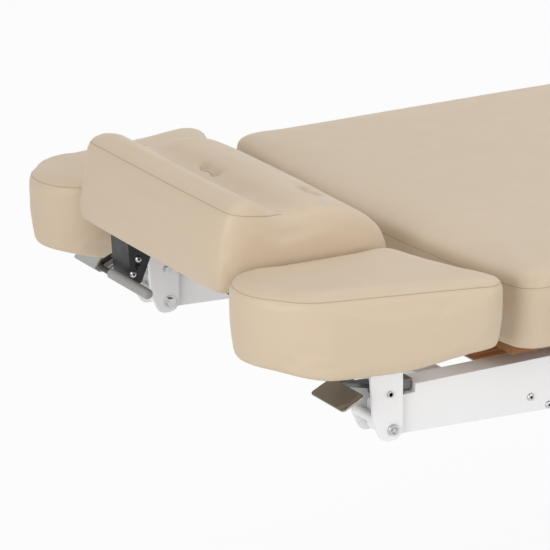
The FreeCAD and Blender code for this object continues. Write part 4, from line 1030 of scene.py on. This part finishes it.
def tube_caps():
    """Moulded plugs in the open ends of the frame's tubes."""
    for node, along in CAPPED_TUBES:
        form = bmesh.new()
        for low, high in tube_boxes(node):
            plate = high - low - CAP_INSET
            plate[along] = CAP_THICK
            for end, face in ((-1, low), (1, high)):
                spot = (low + high) / 2
                spot[along] = face[along] + end * (CAP_THICK / 2 - CAP_SUNK)
                place = Matrix.Translation(spot) @ Matrix.Diagonal((*plate, 1))
                made = bmesh.ops.create_cube(form, size=1.0, matrix=place)["verts"]
                round_edges(form, edges_at(made), CAP_EASE, 2)
        add_piece(f"{node}_end_caps", form, BODY_OF[node], "dark_plastic")


# Studio

WHITE = (1, 1, 1, 1)
FLOOR_TONE = (0.86, 0.86, 0.86, 1)
FLOOR_HALF = 14.0
FLOOR_WHITE = 0.93  # share of plain white in the floor as it is seen, the rest keeps the shadow
SKY_TONE, SKY_STRENGTH = (1.0, 0.995, 0.985, 1), 0.58
LIT_POINT = (60, 0, 120)  # millimetres from the pivot
# Each lamp's place from the lit point, its size and its power.
LAMPS = (
    ("key", (-2.9, -1.9, 0.9), (1.6, 1.6), 40),
    ("fill", (1.4, -3.3, 1.1), (2.2, 1.6), 22),
    ("top", (1.5, 0.3, 2.6), (2.4, 2.4), 21),
)
CAMERA_AT = (-2544.2, -4328.3, 1799.8)  # millimetres from the pivot
CAMERA_TURN, CAMERA_RISE = math.radians(-30.592), math.radians(18.551)
SENSOR_WIDTH = 36.0
FOCAL_PIXELS, PICTURE_PIXELS = 4000, 550


def seen_directly(tree):
    """Marks the rays that show the background: straight, mirrored or through something clear."""
    rays = tree.nodes.new("ShaderNodeLightPath")
    total = rays.outputs["Is Camera Ray"]
    for label in ("Is Glossy Ray", "Is Transmission Ray"):
        either = tree.nodes.new("ShaderNodeMath")
        either.operation = "MAXIMUM"
        tree.links.new(total, either.inputs[0])
        tree.links.new(rays.outputs[label], either.inputs[1])
        total = either.outputs[0]
    return total


def backdrop_finish():
    """White for the camera and for reflections, with the bed's soft shadow kept."""
    material = bpy.data.materials.new("Studio Floor")
    material.use_nodes = True
    tree = material.node_tree
    out = tree.nodes["Material Output"]
    matte = tree.nodes["Principled BSDF"]
    matte.inputs["Base Color"].default_value = FLOOR_TONE
    matte.inputs["Roughness"].default_value = 0.9
    matte.inputs["Specular IOR Level"].default_value = 0.1
    glow = tree.nodes.new("ShaderNodeEmission")
    glow.inputs["Color"].default_value = WHITE
    glow.inputs["Strength"].default_value = 1.0
    share = tree.nodes.new("ShaderNodeMath")
    share.operation = "MULTIPLY"
    share.inputs[1].default_value = FLOOR_WHITE
    tree.links.new(seen_directly(tree), share.inputs[0])
    mix = tree.nodes.new("ShaderNodeMixShader")
    tree.links.new(share.outputs[0], mix.inputs["Fac"])
    tree.links.new(matte.outputs["BSDF"], mix.inputs[1])
    tree.links.new(glow.outputs["Emission"], mix.inputs[2])
    tree.links.new(mix.outputs["Shader"], out.inputs["Surface"])
    return material


def studio_world():
    """Soft light all round, seen as plain white."""
    world = bpy.data.worlds.new("Studio")
    bpy.context.scene.world = world
    world.use_nodes = True
    tree = world.node_tree
    fill = tree.nodes["Background"]
    fill.inputs["Color"].default_value = SKY_TONE
    fill.inputs["Strength"].default_value = SKY_STRENGTH
    white = tree.nodes.new("ShaderNodeBackground")
    white.inputs["Color"].default_value = WHITE
    white.inputs["Strength"].default_value = 1.0
    mix = tree.nodes.new("ShaderNodeMixShader")
    tree.links.new(seen_directly(tree), mix.inputs["Fac"])
    tree.links.new(fill.outputs["Background"], mix.inputs[1])
    tree.links.new(white.outputs["Background"], mix.inputs[2])
    tree.links.new(mix.outputs["Shader"], tree.nodes["World Output"].inputs["Surface"])


def studio_floor():
    form = bmesh.new()
    bmesh.ops.create_grid(form, x_segments=1, y_segments=1, size=FLOOR_HALF)
    floor = new_object("studio_floor", mesh_of("studio_floor", form))
    floor.data.materials.append(backdrop_finish())


def soft_lamp(name, spot, target, size, power):
    lamp = bpy.data.lights.new(name, "AREA")
    lamp.shape = "RECTANGLE"
    lamp.size, lamp.size_y = size
    lamp.energy = power
    holder = new_object(name, lamp)
    holder.location = spot
    holder.rotation_euler = (target - spot).to_track_quat("-Z", "Y").to_euler()


def photo_camera():
    """The camera at the photograph's viewing angle."""
    camera = bpy.data.cameras.new("photo_view")
    camera.sensor_width = SENSOR_WIDTH
    camera.lens = FOCAL_PIXELS / PICTURE_PIXELS * SENSOR_WIDTH
    camera.clip_start = 0.1
    camera.clip_end = 100.0
    flat = math.cos(CAMERA_RISE)
    back = Vector((math.sin(CAMERA_TURN) * flat, -math.cos(CAMERA_TURN) * flat, math.sin(CAMERA_RISE)))
    right = Vector((math.cos(CAMERA_TURN), math.sin(CAMERA_TURN), 0))
    pose = Matrix((right, back.cross(right), back)).transposed().to_4x4()
    pose.translation = from_pivot(*CAMERA_AT)
    eye = new_object("photo_view", camera)
    eye.matrix_world = pose
    bpy.context.scene.camera = eye


def build_studio():
    studio_floor()
    studio_world()
    target = from_pivot(*LIT_POINT)
    for name, offset, size, power in LAMPS:
        soft_lamp(name, target + Vector(offset), target, size, power)
    photo_camera()
    bpy.context.scene.view_settings.view_transform = "Standard"


# Operators


class BED_OT_finishes(bpy.types.Operator):
    """Make the finishes and put them on the frame's own parts"""

    bl_idname = "bed.finishes"
    bl_label = "Finishes"

    def execute(self, context):
        make_finishes(context.scene.bed_finishes)
        for node, part in NODES.items():
            part.data.materials.clear()
            part.data.materials.append(material_for(SLOT_OF[node]))
        return {"FINISHED"}


class BED_OT_body_cushions(bpy.types.Operator):
    """Upholster the back and leg cushions"""

    bl_idname = "bed.body_cushions"
    bl_label = "Body cushions"

    def execute(self, context):
        sizes = context.scene.bed_sizes
        body_cushion("back_cushion", "back_section", sizes, voxel=0.0085, bow=HEAD_BOW)
        body_cushion("leg_cushion", "upper_frame", sizes, voxel=0.0105)
        return {"FINISHED"}


class BED_OT_armrest_cushions(bpy.types.Operator):
    """Upholster both armrests"""

    bl_idname = "bed.armrest_cushions"
    bl_label = "Armrest cushions"

    def execute(self, context):
        for side, sign in SIDES:
            armrest_cushion(side, sign, context.scene.bed_sizes)
        return {"FINISHED"}


class BED_OT_headrest_cushion(bpy.types.Operator):
    """Upholster the contoured headrest"""

    bl_idname = "bed.headrest_cushion"
    bl_label = "Headrest cushion"

    def execute(self, context):
        headrest_cushion(context.scene.bed_sizes)
        return {"FINISHED"}


class BED_OT_steelwork(bpy.types.Operator):
    """Round the edges of the steelwork, latches, boards and housings"""

    bl_idname = "bed.steelwork"
    bl_label = "Steelwork"

    def execute(self, context):
        ease = context.scene.bed_sizes.edge_ease
        for side, _ in SIDES:
            eased_copy(f"back_arm_{side}", 1.6 * ease)
            eased_copy(f"armrest_bracket_{side}", ease)
            eased_copy(f"latch_lever_{side}", 0.6 * ease)
            eased_copy(f"latch_paddle_{side}", ease)
            eased_copy(f"leg_rail_{side}", 2 * ease)
            eased_copy(f"armrest_board_{side}", 3 * ease, "upholstery")
        for node in ("headrest_catch", "headrest_support", "back_hip_plates", "frame_hip_plates", "back_crank"):
            eased_copy(node, ease)
        for node in ("base_beam", "base_crossfeet", "column_outer_head", "column_outer_foot", "main_beam",
                     "leg_tie_bars", "column_plates", "leg_battens", "back_board", "leg_board", "control_box",
                     "drive_motor"):
            eased_copy(node, 2 * ease)
        return {"FINISHED"}


class BED_OT_release_lever(bpy.types.Operator):
    """Bend the headrest's release rod and mould its grip"""

    bl_idname = "bed.release_lever"
    bl_label = "Release lever"

    def execute(self, context):
        catch_y = box_middle("headrest_catch").y
        release_rod(catch_y, context.scene.bed_sizes.bend_radius)
        release_grip(catch_y)
        return {"FINISHED"}


class BED_OT_fasteners(bpy.types.Operator):
    """Set the socket heads, washers and screws"""

    bl_idname = "bed.fasteners"
    bl_label = "Fasteners"

    def execute(self, context):
        for side, sign in SIDES:
            bracket_fasteners(side, sign)
        for side, sign in SIDES:
            arm_fasteners(side, sign)
        catch_screws()
        return {"FINISHED"}


class BED_OT_tube_caps(bpy.types.Operator):
    """Plug the open tube ends"""

    bl_idname = "bed.tube_caps"
    bl_label = "Tube caps"

    def execute(self, context):
        tube_caps()
        return {"FINISHED"}


class BED_OT_studio(bpy.types.Operator):
    """Set the floor, lamps and camera"""

    bl_idname = "bed.studio"
    bl_label = "Studio"

    def execute(self, context):
        build_studio()
        return {"FINISHED"}


class BED_PT_panel(bpy.types.Panel):
    """Steps of the dressing"""

    bl_idname = "BED_PT_panel"
    bl_label = "Treatment Bed"
    bl_space_type = "VIEW_3D"
    bl_region_type = "UI"
    bl_category = "Treatment Bed"

    def draw(self, context):
        for operator in OPERATORS:
            self.layout.operator(operator.bl_idname)
        for group in (context.scene.bed_sizes, context.scene.bed_finishes):
            for name in group.__annotations__:
                self.layout.prop(group, name)


OPERATORS = (
    BED_OT_finishes, BED_OT_body_cushions, BED_OT_armrest_cushions, BED_OT_headrest_cushion, BED_OT_steelwork,
    BED_OT_release_lever, BED_OT_fasteners, BED_OT_tube_caps, BED_OT_studio,
)
CLASSES = (BedSizes, BedFinishes) + OPERATORS + (BED_PT_panel,)


def register():
    for item in CLASSES:
        bpy.utils.register_class(item)
    bpy.types.Scene.bed_sizes = PointerProperty(type=BedSizes)
    bpy.types.Scene.bed_finishes = PointerProperty(type=BedFinishes)


def unregister():
    del bpy.types.Scene.bed_finishes
    del bpy.types.Scene.bed_sizes
    for item in reversed(CLASSES):
        bpy.utils.unregister_class(item)


def main():
    register()
    bpy.ops.bed.finishes()
    bpy.ops.bed.body_cushions()
    bpy.ops.bed.armrest_cushions()
    bpy.ops.bed.headrest_cushion()
    bpy.ops.bed.steelwork()
    bpy.ops.bed.release_lever()
    bpy.ops.bed.fasteners()
    bpy.ops.bed.tube_caps()
    bpy.ops.bed.studio()


if __name__ == "__main__":
    main()
